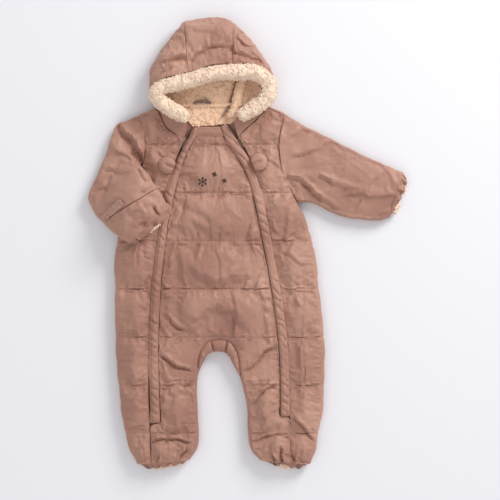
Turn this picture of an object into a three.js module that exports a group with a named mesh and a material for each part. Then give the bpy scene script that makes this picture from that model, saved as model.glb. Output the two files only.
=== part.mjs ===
// A baby's hooded snowsuit of padded, quilted cloth with a pile lining, laid out flat on its back.
// The right sleeve lies straight out on the surface, the left one is folded down across the front.
// Millimetres. +Z is up from the surface, +Y runs from the feet to the hood, +X to the viewer's right.
// "left" and "right" are the sides that the viewer sees. The origin is under the middle of the suit.

import * as THREE from "three";
import { mergeVertices } from "three/addons/utils/BufferGeometryUtils.js";

// Thicknesses and gaps
const SEAM_GAP = 0.3; // between two pieces that are sewn together
const BACK_THICK = 12; // padded back with its pile lining
const FRONT_REST = BACK_THICK + SEAM_GAP; // the front panels lie on the back
const SEAM_RISE = 2.6; // height of a front panel at the side seam
const STITCHED_RISE = 9; // height of a front panel where it is stitched down
const PUFF = 7; // how far the padding stands up between stitch lines
const SIDE_ROUND = 42; // width over which the front rounds down to the side seam
const UNDER_ROUND = 16; // width over which the back curls up to the side seam
const UNDER_RISE = 8.5; // how far it curls up
const PUFF_EDGE = 17; // width over which a panel swells from its seam
const QUILT_PITCH = 77; // between the rows of quilting
const QUILT_TOP = 82; // the row of quilting under the chest
const SLEEVE_THICK = 27;
const SLEEVE_LIFT = 29.2; // the folded sleeve lies this high where it crosses the front
const SLOT = 2; // between the two layers of a flattened sleeve, cuff or foot
const HOOD_WALL = 6;
const HOOD_RIM = 19; // height of the hood's rounded outer edge
const HOOD_CROWN = 45; // height of the hood above its face edge
const LINING_TOP = 15; // pile lining on the back of the hood
const ZIP_TOP = 16.4;
const PLACKET_REST = ZIP_TOP + 2 * SEAM_GAP;
const PLACKET_TOP = 25.5;
const ZIP_WIDTH = 6;
const ZIP_SLIT = 1; // dark slit beside the placket, over the zip

const EAR_SIZE = 13;
const EAR_THICK = 4;
const EAR_CLEAR = 0.8;
const STRAP_THICK = 2;
const STRAP_CLEAR = 1.1;
const SLIDER_LONG = 9;
const SLIDER_WIDE = 4.8;
const SLIDER_HIGH = 5;
const SLIDER_REST = ZIP_TOP + SEAM_GAP;
const PULL_WIDE = 4;
const PULL_LONG = 13;
const PULL_THICK = 1.4;
const PULL_LEVEL = SLIDER_REST + SLIDER_HIGH + SEAM_GAP + PULL_THICK / 2;

const CLOTH = { color: 0xb78f7f, roughness: 0.62, metalness: 0 };
const PILE = { color: 0xe6d2b5, roughness: 0.95, metalness: 0 };
const TAPE = { color: 0x5a4038, roughness: 0.7, metalness: 0 };
const METAL = { color: 0x4b4740, roughness: 0.35, metalness: 0.9 };
const RIBBON = { color: 0x7d665c, roughness: 0.5, metalness: 0 };

// Outline tables, a row for each section down the body. "out" is the side towards the sleeve.
const FRONT_LEFT = [
  { outX: -176, outY: 206, inX: -149, inY: 217 },
  { outX: -171, outY: 195, inX: -142, inY: 205 },
  { outX: -167, outY: 182, inX: -135, inY: 188 },
  { outX: -166, outY: 168, inX: -122, inY: 177 },
  { outX: -166, outY: 154, inX: -104, inY: 168 },
  { outX: -167, outY: 141, inX: -110, inY: 150 },
  { outX: -168, outY: 130, inX: -117, inY: 133 },
  { outX: -176, outY: 108, inX: -126, inY: 107 },
  { outX: -185, outY: 85, inX: -134, inY: 82 },
  { outX: -194, outY: 62, inX: -139, inY: 56 },
  { outX: -203, outY: 34, inX: -144, inY: 26 },
  { outX: -211, outY: 2, inX: -148, inY: -3 },
  { outX: -214, outY: -32, inX: -152, inY: -36 },
  { outX: -214, outY: -68, inX: -156, inY: -72 },
  { outX: -214, outY: -104, inX: -158, inY: -106 },
  { outX: -213, outY: -138, inX: -159, inY: -138 },
  { outX: -212, outY: -170, inX: -160, inY: -170 },
  { outX: -210, outY: -205, inX: -161, inY: -205 },
  { outX: -207, outY: -240, inX: -161, inY: -240 },
  { outX: -202, outY: -276, inX: -160, inY: -276 },
  { outX: -197, outY: -304, inX: -159, inY: -304 },
  { outX: -191, outY: -328, inX: -158, inY: -330 },
  { outX: -178, outY: -352, inX: -157, inY: -350.2 },
];
const FRONT_RIGHT = [
  { outX: 56, outY: 209, inX: 33, inY: 219 },
  { outX: 52, outY: 199, inX: 27, inY: 214 },
  { outX: 49, outY: 187, inX: 18, inY: 204 },
  { outX: 47, outY: 173, inX: 6, inY: 192 },
  { outX: 47, outY: 158, inX: -6, inY: 182 },
  { outX: 50, outY: 140, inX: -17, inY: 169 },
  { outX: 54, outY: 123, inX: -9, inY: 150 },
  { outX: 61, outY: 104, inX: 2, inY: 132 },
  { outX: 68, outY: 86, inX: 12, inY: 112 },
  { outX: 76, outY: 67, inX: 19, inY: 88 },
  { outX: 85, outY: 50, inX: 24, inY: 65 },
  { outX: 93, outY: 28, inX: 30, inY: 34 },
  { outX: 101, outY: 2, inX: 36, inY: 4 },
  { outX: 106, outY: -28, inX: 41, inY: -25 },
  { outX: 110, outY: -58, inX: 47, inY: -53 },
  { outX: 114, outY: -94, inX: 53, inY: -90 },
  { outX: 118, outY: -134, inX: 59, inY: -134 },
  { outX: 120, outY: -170, inX: 62, inY: -170 },
  { outX: 120, outY: -206, inX: 64, inY: -204 },
  { outX: 119, outY: -240, inX: 65, inY: -240 },
  { outX: 116, outY: -272, inX: 66, inY: -272 },
  { outX: 110, outY: -303, inX: 67, inY: -303 },
  { outX: 106, outY: -330, inX: 67, inY: -330 },
  { outX: 97, outY: -352, inX: 68, inY: -349.8 },
];
// The front centre, between the plackets. "mid" is where its two halves meet, or the inside of each leg.
const CENTRE_BODY = [
  { leftX: -83, leftY: 172, midX: -63, rightX: -42, rightY: 172 },
  { leftX: -92, leftY: 158, midX: -61, rightX: -32, rightY: 158 },
  { leftX: -102, leftY: 135, midX: -58, rightX: -17, rightY: 135 },
  { leftX: -109, leftY: 116, midX: -56, rightX: -7, rightY: 116 },
  { leftX: -114, leftY: 98, midX: -55, rightX: 0, rightY: 98 },
  { leftX: -118, leftY: 82, midX: -54, rightX: 5, rightY: 82 },
  { leftX: -123, leftY: 58, midX: -53, rightX: 10, rightY: 58 },
  { leftX: -129, leftY: 30, midX: -52, rightX: 16, rightY: 30 },
  { leftX: -133, leftY: 2, midX: -51, rightX: 21, rightY: 2 },
  { leftX: -136, leftY: -27, midX: -50, rightX: 27, rightY: -27 },
  { leftX: -139, leftY: -55, midX: -50, rightX: 32, rightY: -55 },
  { leftX: -141, leftY: -83, midX: -49, rightX: 37, rightY: -83 },
  { leftX: -142, leftY: -110, midX: -49, rightX: 41, rightY: -110 },
  { leftX: -143, leftY: -134, midX: -48, rightX: 44, rightY: -134 },
  { leftX: -144, leftY: -153, midX: -47, rightX: 46, rightY: -153 },
];
const CENTRE_LEG_LEFT = [
  { outX: -144, outY: -162, inX: -61, inY: -155 },
  { outX: -144, outY: -170, inX: -70, inY: -161 },
  { outX: -144, outY: -178, inX: -77, inY: -171 },
  { outX: -144, outY: -190, inX: -81, inY: -186 },
  { outX: -143, outY: -210, inX: -82, inY: -206 },
  { outX: -143, outY: -232, inX: -84, inY: -230 },
  { outX: -142, outY: -256, inX: -83, inY: -254 },
  { outX: -141, outY: -285, inX: -82, inY: -282 },
  { outX: -157, outY: -291, inX: -82, inY: -290 },
  { outX: -157, outY: -310, inX: -81, inY: -308 },
  { outX: -156, outY: -332, inX: -84, inY: -328 },
  { outX: -156.3, outY: -350.2, inX: -95, inY: -345 },
];
const CENTRE_LEG_RIGHT = [
  { outX: 47, outY: -162, inX: -34, inY: -155 },
  { outX: 47, outY: -170, inX: -26, inY: -161 },
  { outX: 48, outY: -178, inX: -20, inY: -171 },
  { outX: 48, outY: -190, inX: -16, inY: -186 },
  { outX: 49, outY: -210, inX: -14, inY: -208 },
  { outX: 49, outY: -232, inX: -9, inY: -232 },
  { outX: 49, outY: -256, inX: -3, inY: -256 },
  { outX: 49, outY: -274, inX: -2, inY: -274 },
  { outX: 65, outY: -280, inX: -2, inY: -284 },
  { outX: 66, outY: -304, inX: -1, inY: -306 },
  { outX: 66, outY: -332, inX: 4, inY: -330 },
  { outX: 67.3, outY: -349.7, inX: 18, inY: -346 },
];
// The back, in one with both legs. Its crotch is cut a little higher than the front's, behind the gusset.
const BACK_BODY = [
  { leftX: -149, leftY: 217, midX: -60, rightX: 33, rightY: 219 },
  { leftX: -176, leftY: 205, midX: -60, rightX: 56, rightY: 208 },
  { leftX: -167, leftY: 182, midX: -60, rightX: 49, rightY: 185 },
  { leftX: -166, leftY: 155, midX: -60, rightX: 47, rightY: 156 },
  { leftX: -167.6, leftY: 129, midX: -59, rightX: 54, rightY: 122 },
  { leftX: -185, leftY: 85, midX: -57, rightX: 69, rightY: 84 },
  { leftX: -194, leftY: 62, midX: -56, rightX: 78, rightY: 63 },
  { leftX: -206, leftY: 22, midX: -54, rightX: 95, rightY: 22 },
  { leftX: -214, leftY: -30, midX: -52, rightX: 106, rightY: -30 },
  { leftX: -214, leftY: -85, midX: -50, rightX: 113, rightY: -85 },
  { leftX: -213, leftY: -134, midX: -49, rightX: 118, rightY: -134 },
  { leftX: -212, leftY: -168, midX: -48, rightX: 120, rightY: -168 },
];
const BACK_LEG_LEFT = [
  { outX: -211, outY: -182, inX: -66, inY: -177 },
  { outX: -210, outY: -200, inX: -77, inY: -196 },
  { outX: -209, outY: -218, inX: -83, inY: -216 },
  { outX: -204, outY: -260, inX: -84, inY: -258 },
  { outX: -197, outY: -304, inX: -81, inY: -300 },
  { outX: -190, outY: -330, inX: -83, inY: -326 },
  { outX: -178, outY: -352, inX: -95, inY: -345 },
];
const BACK_LEG_RIGHT = [
  { outX: 120, outY: -182, inX: -34, inY: -177 },
  { outX: 120, outY: -200, inX: -23, inY: -196 },
  { outX: 120, outY: -218, inX: -13, inY: -216 },
  { outX: 118, outY: -260, inX: -3, inY: -258 },
  { outX: 110, outY: -304, inX: -1, inY: -306 },
  { outX: 106, outY: -330, inX: 4, inY: -330 },
  { outX: 97, outY: -352, inX: 18, inY: -346 },
];
// Sleeves, a row for each section from the armhole. "hollow" bends the section towards the body.
const SLEEVE_LEFT = [
  { outX: -176.6, outY: 206, inX: -168.6, inY: 130, hollow: 6 },
  { outX: -187, outY: 202, inX: -171, inY: 128, hollow: 4 },
  { outX: -199, outY: 198, inX: -173, inY: 127, hollow: 2 },
  { outX: -211, outY: 194, inX: -174, inY: 126, hollow: 0 },
  { outX: -218, outY: 181, inX: -172, inY: 124, hollow: 0 },
  { outX: -227, outY: 155, inX: -167, inY: 119, hollow: 0 },
  { outX: -238, outY: 125, inX: -162, inY: 114, hollow: 0 },
  { outX: -250, outY: 97, inX: -157, inY: 107, hollow: 0 },
  { outX: -258, outY: 74, inX: -153, inY: 100, hollow: 0 },
  { outX: -251, outY: 54, inX: -149, inY: 94, hollow: 0 },
  { outX: -235, outY: 35, inX: -145, inY: 89, hollow: 0 },
];
const HAND_COVER_LEFT = [
  { outX: -234.4, outY: 34.4, inX: -144.6, inY: 88.4, hollow: 0 },
  { outX: -219, outY: 20, inX: -138, inY: 78, hollow: 0 },
  { outX: -203, outY: 7, inX: -131, inY: 66, hollow: 0 },
  { outX: -193, outY: -1, inX: -126, inY: 58, hollow: 0 },
];
const CUFF_LEFT = [
  { outX: -191.6, outY: -1.6, inX: -125.4, inY: 57.4, hollow: 0 },
  { outX: -186, outY: -6, inX: -122, inY: 50, hollow: 0 },
];
const SLEEVE_RIGHT = [
  { outX: 56.8, outY: 209, inX: 76.8, inY: 67, hollow: -17 },
  { outX: 72, outY: 199, inX: 86, inY: 66, hollow: -10 },
  { outX: 92, outY: 188, inX: 100, inY: 66, hollow: -4 },
  { outX: 114, outY: 177, inX: 114, inY: 60, hollow: 0 },
  { outX: 132, outY: 168, inX: 130, inY: 52, hollow: 0 },
  { outX: 150, outY: 159, inX: 147, inY: 46, hollow: 0 },
  { outX: 170, outY: 149, inX: 167, inY: 41, hollow: 0 },
  { outX: 190, outY: 140, inX: 187, inY: 38, hollow: 0 },
  { outX: 210, outY: 131, inX: 205, inY: 38, hollow: 0 },
  { outX: 230, outY: 122, inX: 218, inY: 40, hollow: 0 },
  { outX: 247, outY: 115, inX: 226, inY: 43, hollow: 0 },
];
const CUFF_RIGHT = [
  { outX: 247.6, outY: 114.6, inX: 226.6, inY: 43.4, hollow: 0 },
  { outX: 259, outY: 107, inX: 232, inY: 44, hollow: 0 },
];
const FOOT_HEM_LEFT = [
  { outX: -178, outY: -353, inX: -95, inY: -346, hollow: 0 },
  { outX: -169, outY: -363, inX: -96, inY: -352, hollow: 0 },
];
const FOOT_HEM_RIGHT = [
  { outX: 97, outY: -353, inX: 18, inY: -347, hollow: 0 },
  { outX: 92, outY: -362, inX: 30, inY: -354, hollow: 0 },
];
// Plackets and zips. "out" is the open edge over the zip, "in" is sewn to the front centre.
const PLACKET_LEFT = [
  { outX: -88, outY: 186, inX: -82, inY: 186 },
  { outX: -95, outY: 170, inX: -84, inY: 172 },
  { outX: -102, outY: 157, inX: -93, inY: 158 },
  { outX: -114, outY: 134, inX: -103, inY: 135 },
  { outX: -125, outY: 107, inX: -112, inY: 107 },
  { outX: -133, outY: 82, inX: -119, inY: 82 },
  { outX: -138, outY: 56, inX: -124, inY: 56 },
  { outX: -143, outY: 26, inX: -130, inY: 26 },
  { outX: -147, outY: -3, inX: -134, inY: -3 },
  { outX: -151, outY: -36, inX: -138, inY: -36 },
  { outX: -155, outY: -72, inX: -141, inY: -72 },
  { outX: -157, outY: -106, inX: -143, inY: -106 },
  { outX: -158, outY: -138, inX: -144.5, inY: -138 },
  { outX: -159, outY: -170, inX: -145, inY: -170 },
  { outX: -160, outY: -205, inX: -144.5, inY: -205 },
  { outX: -160, outY: -240, inX: -143.5, inY: -240 },
  { outX: -159, outY: -268, inX: -142.5, inY: -268 },
  { outX: -158.5, outY: -284, inX: -142, inY: -284 },
];
const PLACKET_RIGHT = [
  { outX: -38, outY: 192, inX: -45, inY: 186 },
  { outX: -25, outY: 173, inX: -40, inY: 172 },
  { outX: -14, outY: 156, inX: -31, inY: 157 },
  { outX: -1, outY: 136, inX: -16, inY: 135 },
  { outX: 9.5, outY: 113, inX: -4, inY: 112 },
  { outX: 17, outY: 90, inX: 4, inY: 88 },
  { outX: 23, outY: 66, inX: 10, inY: 65 },
  { outX: 29, outY: 35, inX: 16, inY: 34 },
  { outX: 35, outY: 4, inX: 22, inY: 4 },
  { outX: 40, outY: -25, inX: 28, inY: -25 },
  { outX: 46, outY: -53, inX: 33, inY: -53 },
  { outX: 52, outY: -90, inX: 39, inY: -90 },
  { outX: 58, outY: -134, inX: 45, inY: -134 },
  { outX: 61, outY: -170, inX: 48.5, inY: -170 },
  { outX: 63, outY: -204, inX: 50, inY: -204 },
  { outX: 64, outY: -240, inX: 50.5, inY: -240 },
  { outX: 64.5, outY: -273, inX: 50.5, inY: -273 },
];
// The lower edge of the gathered gusset, from the left leg over to the right one
const GUSSET_EDGE = [
  { x: -78.5, y: -195 },
  { x: -74, y: -186 },
  { x: -67, y: -178 },
  { x: -58, y: -173 },
  { x: -48, y: -172 },
  { x: -38, y: -174 },
  { x: -31, y: -181 },
  { x: -26, y: -191 },
  { x: -20, y: -202 },
  { x: -15.5, y: -211 },
];
// Small pieces at the neck. "in" is the seam with the front panel.
const COLLAR_LEFT = [
  { outX: -149, outY: 226, inX: -147.6, inY: 218.6 },
  { outX: -138, outY: 222, inX: -140.6, inY: 206.4 },
  { outX: -126, outY: 214, inX: -133.4, inY: 190 },
  { outX: -113, outY: 206, inX: -121, inY: 179 },
  { outX: -99, outY: 196, inX: -103.8, inY: 170 },
];
const COLLAR_RIGHT = [
  { outX: 31, outY: 229, inX: 31.6, inY: 221 },
  { outX: 20, outY: 224, inX: 25.6, inY: 215.6 },
  { outX: 9, outY: 216, inX: 16.6, inY: 205.8 },
  { outX: -3, outY: 208, inX: 4.6, inY: 193.8 },
  { outX: -13, outY: 202, inX: -7, inY: 184.2 },
  { outX: -24, outY: 196, inX: -17.4, inY: 172.6 },
];
const NECK_BAND = [
  { outX: -81.8, outY: 187, inX: -46.2, inY: 187 },
  { outX: -83.4, outY: 172.5, inX: -41.2, inY: 172.5 },
];
const BACK_LINING = [
  { outX: -130, outY: 218.4, inX: 12, inY: 218.4 },
  { outX: -115, outY: 210, inX: -4, inY: 210 },
  { outX: -103, outY: 202, inX: -17, inY: 202 },
  { outX: -94, outY: 194, inX: -29, inY: 194 },
  { outX: -90, outY: 188.5, inX: -40, inY: 192.6 },
];
const HOOD_LINING = [
  { outX: -132, outY: 222, inX: 15, inY: 222 },
  { outX: -137, outY: 240, inX: 20, inY: 240 },
  { outX: -134, outY: 262, inX: 12, inY: 262 },
  { outX: -126, outY: 285, inX: 0, inY: 285 },
  { outX: -112, outY: 308, inX: -12, inY: 308 },
  { outX: -98, outY: 326, inX: -28, inY: 326 },
  { outX: -84, outY: 338, inX: -42, inY: 338 },
];
// Hood panels, a row for each strip: face edge, rounded outer edge, neck edge under it.
const HOOD_LEFT = [
  { faceX: -96.4, faceY: 273.5, rimX: -104.4, rimY: 356, neckX: -96.4, neckY: 217.9 },
  { faceX: -112, faceY: 269.5, rimX: -120, rimY: 337, neckX: -108, neckY: 217.77 },
  { faceX: -127, faceY: 266, rimX: -134, rimY: 319, neckX: -119, neckY: 217.65 },
  { faceX: -140, faceY: 261, rimX: -147, rimY: 299, neckX: -129, neckY: 217.54 },
  { faceX: -149, faceY: 256, rimX: -157, rimY: 279, neckX: -138, neckY: 217.44 },
  { faceX: -155, faceY: 249, rimX: -160, rimY: 260, neckX: -145, neckY: 217.6 },
  { faceX: -157, faceY: 240, rimX: -159, rimY: 243, neckX: -150, neckY: 221 },
];
const HOOD_CENTRE = [
  { faceX: -95.8, faceY: 273.5, rimX: -103.8, rimY: 356, neckX: -95.8, neckY: 217.91 },
  { faceX: -78, faceY: 278, rimX: -84, rimY: 360, neckX: -79, neckY: 218.09 },
  { faceX: -58, faceY: 285, rimX: -62, rimY: 363, neckX: -62, neckY: 218.28 },
  { faceX: -40, faceY: 286, rimX: -42, rimY: 362, neckX: -44, neckY: 218.48 },
  { faceX: -26.2, faceY: 286, rimX: -25.2, rimY: 354, neckX: -27.2, neckY: 218.66 },
];
const HOOD_RIGHT = [
  { faceX: -25.6, faceY: 286, rimX: -24.6, rimY: 354, neckX: -26.6, neckY: 218.66 },
  { faceX: -12, faceY: 287, rimX: -9, rimY: 340, neckX: -12, neckY: 218.85 },
  { faceX: 2, faceY: 287, rimX: 8, rimY: 320, neckX: 2, neckY: 219 },
  { faceX: 15, faceY: 282, rimX: 22, rimY: 301, neckX: 14, neckY: 219.15 },
  { faceX: 27, faceY: 276, rimX: 33, rimY: 284, neckX: 24, neckY: 219.6 },
  { faceX: 36, faceY: 266, rimX: 40, rimY: 269, neckX: 32, neckY: 228 },
];
// The pile roll round the face, from the lower left over the forehead to the lower right.
const TRIM_PATH = [
  { x: -97, y: 199, z: 36.6, r: 9 },
  { x: -109, y: 206, z: 37.6, r: 10 },
  { x: -123, y: 214, z: 38.5, r: 11 },
  { x: -137, y: 224, z: 39, r: 11 },
  { x: -147, y: 235, z: 39, r: 11 },
  { x: -143, y: 246, z: 42, r: 10 },
  { x: -127, y: 252, z: 43, r: 10.5 },
  { x: -108, y: 257, z: 44, r: 11 },
  { x: -88, y: 261, z: 44, r: 11 },
  { x: -70, y: 267, z: 44, r: 11 },
  { x: -50, y: 272, z: 44, r: 11 },
  { x: -30, y: 272.5, z: 44, r: 11 },
  { x: -10, y: 273, z: 44, r: 11.5 },
  { x: 8, y: 272, z: 43, r: 11.5 },
  { x: 22, y: 265, z: 42, r: 11 },
  { x: 32, y: 253, z: 40, r: 11 },
  { x: 31, y: 238, z: 39.5, r: 11 },
  { x: 22, y: 226, z: 39, r: 11 },
  { x: 9, y: 217, z: 38.5, r: 11 },
  { x: -4, y: 208, z: 37.6, r: 10 },
  { x: -16, y: 202, z: 36.6, r: 9 },
];
const HANGER_LOOP = [
  { outX: -88, outY: 231, inX: -61, inY: 231 },
  { outX: -88, outY: 223.5, inX: -61, inY: 223.5 },
];
const SLIDER_TURN_LEFT = (-113 * Math.PI) / 180;
const SLIDER_TURN_RIGHT = (-57 * Math.PI) / 180;
// Largest creases, from end to end, with their depth and half width
const FOLDS = [
  { x0: -112, y0: 62, x1: -58, y1: 30, deep: 5, wide: 7 },
  { x0: -60, y0: 36, x1: -50, y1: -8, deep: 4, wide: 8 },
  { x0: -28, y0: -70, x1: -26, y1: -150, deep: 4, wide: 6 },
  { x0: -56, y0: -8, x1: -44, y1: -62, deep: 3, wide: 6 },
  { x0: -142, y0: -112, x1: -104, y1: -138, deep: 5, wide: 6 },
  { x0: -142, y0: -180, x1: -92, y1: -204, deep: 5, wide: 6 },
  { x0: -106, y0: -230, x1: -86, y1: -218, deep: 4, wide: 5 },
  { x0: -10, y0: -206, x1: 38, y1: -166, deep: 5, wide: 6 },
  { x0: 0, y0: -262, x1: 42, y1: -224, deep: 5, wide: 6 },
  { x0: 70, y0: -276, x1: 104, y1: -316, deep: 5, wide: 5 },
  { x0: 50, y0: -14, x1: 92, y1: -38, deep: 4, wide: 6 },
  { x0: 60, y0: -72, x1: 82, y1: -104, deep: 4, wide: 6 },
  { x0: -148, y0: 148, x1: -120, y1: 128, deep: 4, wide: 6 },
  { x0: 12, y0: 140, x1: 46, y1: 124, deep: 4, wide: 6 },
  { x0: -156, y0: -318, x1: -90, y1: -328, deep: 5, wide: 5 },
  { x0: 4, y0: -316, x1: 62, y1: -304, deep: 4, wide: 5 },
];

// Values between the rows of a table, on a smooth curve through each column
function smooth(rows, count) {
  const names = Object.keys(rows[0]);
  const made = [];
  for (let i = 0; i < count; i++) {
    const at = (i / (count - 1)) * (rows.length - 1);
    const k = Math.min(Math.floor(at), rows.length - 2);
    const f = at - k;
    const row = {};
    for (const name of names) {
      const b = rows[k][name];
      const c = rows[k + 1][name];
      const a = k > 0 ? rows[k - 1][name] : 2 * b - c;
      const d = k + 2 < rows.length ? rows[k + 2][name] : 2 * c - b;
      const bend = 2 * a - 5 * b + 4 * c - d;
      const twist = 3 * b - a - 3 * c + d;
      row[name] = b + 0.5 * f * (c - a + f * (bend + f * twist));
    }
    made.push(row);
  }
  return made;
}

const mix = (a, b, f) => a + (b - a) * f;
const limit = (v, low, high) => Math.min(high, Math.max(low, v));
// 0 at an edge, rising round to 1
const round = (f) => Math.sqrt(1 - (1 - limit(f, 0, 1)) ** 2);
const ease = (f) => limit(f, 0, 1) ** 2 * (3 - 2 * limit(f, 0, 1));

function toSegment(x, y, x0, y0, x1, y1) {
  const along = (x - x0) * (x1 - x0) + (y - y0) * (y1 - y0);
  const f = limit(along / ((x1 - x0) ** 2 + (y1 - y0) ** 2 || 1), 0, 1);
  return Math.hypot(x - mix(x0, x1, f), y - mix(y0, y1, f));
}

function toLine(x, y, points) {
  let least = Infinity;
  for (let i = 1; i < points.length; i++) {
    const [a, b] = [points[i - 1], points[i]];
    least = Math.min(least, toSegment(x, y, a.x, a.y, b.x, b.y));
  }
  return least;
}

// Depth of the creases at a place
function creases(x, y) {
  let depth = 0;
  for (const f of FOLDS) {
    const away = toSegment(x, y, f.x0, f.y0, f.x1, f.y1) / f.wide;
    depth = Math.max(depth, f.deep * Math.exp(-away * away));
  }
  return depth;
}

// 0 on a row of quilting, 1 midway between two rows
function quilting(y) {
  const across = (QUILT_TOP - y) / QUILT_PITCH;
  const off = Math.abs(across - Math.round(across)) * 2;
  return Math.pow(1 - (1 - off) ** 2.2, 0.6);
}

const edge = (rows, side) => rows.map((r) => ({ x: r[side + "X"], y: r[side + "Y"] }));

const bodyRows = smooth(CENTRE_BODY, 38);
const legRowsLeft = smooth([centreSplit("left"), ...CENTRE_LEG_LEFT], 26).slice(1);
const legRowsRight = smooth([centreSplit("right"), ...CENTRE_LEG_RIGHT], 26).slice(1);
const sideRowsLeft = alongZip(alongArmhole(smooth(FRONT_LEFT, 56), SLEEVE_LEFT[0], "out", -1), PLACKET_LEFT, -1);
const sideRowsRight = alongZip(alongArmhole(smooth(FRONT_RIGHT, 58), SLEEVE_RIGHT[0], "out", 1), PLACKET_RIGHT, 1);

// Where the side of a panel runs along an armhole, it takes its edge from the sleeve's first row
function alongArmhole(rows, seam, side, outward) {
  const points = [];
  const long = Math.hypot(seam.inX - seam.outX, seam.inY - seam.outY);
  for (let k = 0; k <= 60; k++) {
    const f = k / 60;
    const bulge = 4 * f * (1 - f) * seam.hollow;
    const y = mix(seam.outY, seam.inY, f) + (bulge * (seam.outX - seam.inX)) / long;
    points.push({ x: mix(seam.outX, seam.inX, f) + bulge, y });
  }
  for (const r of rows) {
    const y = r[side + "Y"];
    if (y > seam.outY || y < seam.inY) continue;
    const k = Math.min(59, points.filter((p) => p.y >= y).length - 1);
    const f = (points[k].y - y) / (points[k].y - points[k + 1].y);
    r[side + "X"] = mix(points[k].x, points[k + 1].x, f) - outward * 1.4 * SEAM_GAP;
  }
  return rows;
}

// How far the zip shows beside its placket: most at the slider
function zipShows(y) {
  return 0.6 + 5.2 * ease((y - 112) / 44);
}

// The inner edge of a side panel runs beside the zip
function alongZip(rows, table, outward) {
  const line = smooth(table, 90);
  for (const r of rows) {
    if (r.inY > 171 || r.inY < table[table.length - 1].outY + 3) continue;
    const near = line.reduce((best, p) => (Math.abs(p.outY - r.inY) < Math.abs(best.outY - r.inY) ? p : best));
    const after = line[Math.min(line.indexOf(near) + 1, 89)];
    const slope = (after.outX - near.outX) / (after.outY - near.outY || 1);
    r.inX = near.outX + slope * (r.inY - near.outY) + outward * (zipShows(r.inY) + 1.6 * SEAM_GAP);
  }
  return rows;
}

// The last row of the front centre's body, as the first row of a leg
function centreSplit(side) {
  const last = CENTRE_BODY[CENTRE_BODY.length - 1];
  return { outX: last[side + "X"], outY: last[side + "Y"], inX: last.midX, inY: last.leftY };
}

// The free outline of the body and legs, where front and back are sewn together
const ARMPIT_ROWS = 22; // rows of a front side panel above the armpit
const freeEdges = [
  edge(sideRowsLeft.slice(ARMPIT_ROWS), "out"),
  edge(sideRowsRight.slice(ARMPIT_ROWS), "out"),
  edge(legRowsLeft, "in"),
  edge(legRowsRight, "in"),
  [{ x: -61, y: -155 }, { x: -47, y: -153 }, { x: -34, y: -155 }],
];
const toFreeEdge = (x, y) => Math.min(...freeEdges.map((line) => toLine(x, y, line)));

// Height of the top of a front panel. "seams" are the lines where the panel is sewn.
function frontTop(x, y, seams) {
  const side = round(toFreeEdge(x, y) / SIDE_ROUND);
  const sewn = Math.min(...seams.map((line) => toLine(x, y, line)));
  const level = FRONT_REST + mix(SEAM_RISE, STITCHED_RISE, side);
  const swell = round(sewn / PUFF_EDGE) * mix(0.3, 1, quilting(y)) * side;
  return level + PUFF * swell - creases(x, y) * side * round(sewn / 8);
}

function backUnder(x, y) {
  return UNDER_RISE * (1 - round(toFreeEdge(x, y) / UNDER_ROUND));
}

// Mesh making. A sheet is a grid of points, and its faces go in as index triples.
class Faces {
  constructor() {
    this.points = [];
    this.index = [];
  }

  add(points) {
    const first = this.points.length;
    this.points.push(...points);
    return first;
  }

  quad(a, b, c, d, turned) {
    this.index.push(...(turned ? [a, c, b, a, d, c] : [a, b, c, a, c, d]));
  }

  grid(rows, turned) {
    const firsts = rows.map((row) => this.add(row));
    for (let i = 1; i < rows.length; i++) {
      for (let j = 1; j < rows[i].length; j++) {
        const [a, b] = [firsts[i - 1] + j - 1, firsts[i] + j - 1];
        this.quad(a, b, b + 1, a + 1, turned);
      }
    }
  }

  // Between two rows, of which one may have its ends only
  ladder(above, below, turned) {
    const [a, b] = [this.add(above), this.add(below)];
    const [m, n] = [above.length - 1, below.length - 1];
    const turn = (i, j, k) => this.index.push(...(turned ? [i, k, j] : [i, j, k]));
    for (let j = 0; j < n; j++) turn(a, b + j, b + j + 1);
    for (let j = 0; j < m; j++) turn(a + j, b + n, a + j + 1);
  }

  geometry() {
    const flat = new Float32Array(this.points.flatMap((p) => [p.x, p.y, p.z]));
    const made = new THREE.BufferGeometry();
    made.setAttribute("position", new THREE.BufferAttribute(flat, 3));
    made.setIndex(this.index);
    const merged = mergeVertices(made, 1e-3);
    const kept = [];
    const index = merged.index.array;
    for (let i = 0; i < index.length; i += 3) {
      const [a, b, c] = [index[i], index[i + 1], index[i + 2]];
      if (a !== b && b !== c && c !== a) kept.push(a, b, c);
    }
    merged.setIndex(kept);
    return merged;
  }
}

const at = (x, y, z) => new THREE.Vector3(x, y, z);

// A closed solid between a shaped sheet and a flat level. "down" puts the shaped sheet underneath.
function overLevel(sheets, level, down = false) {
  const skin = new Faces();
  for (const sheet of sheets) skin.grid(sheet, down);
  const sheetGeometry = skin.geometry();
  const place = sheetGeometry.getAttribute("position");
  const index = sheetGeometry.index.array;
  const solid = new Faces();
  for (let i = 0; i < place.count; i++) {
    solid.points.push(at(place.getX(i), place.getY(i), place.getZ(i)));
  }
  solid.index.push(...index);
  const used = new Set();
  for (let i = 0; i < index.length; i += 3) {
    for (let k = 0; k < 3; k++) used.add(`${index[i + k]},${index[i + ((k + 1) % 3)]}`);
  }
  const flat = (p) => at(p.x, p.y, level);
  for (const name of used) {
    const [a, b] = name.split(",").map(Number);
    if (used.has(`${b},${a}`)) continue;
    const [from, to] = [solid.points[a], solid.points[b]];
    const low = solid.add([to, from, flat(from), flat(to)]);
    solid.quad(low, low + 1, low + 2, low + 3, false);
  }
  for (const sheet of sheets) {
    const ends = (row) => [row[0], row[row.length - 1]];
    const last = sheet.length - 1;
    const rows = sheet.map((row, i) => (i === 0 || i === last ? row : ends(row)).map(flat));
    for (let i = 0; i < last; i++) solid.ladder(rows[i], rows[i + 1], !down);
  }
  return solid.geometry();
}

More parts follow.
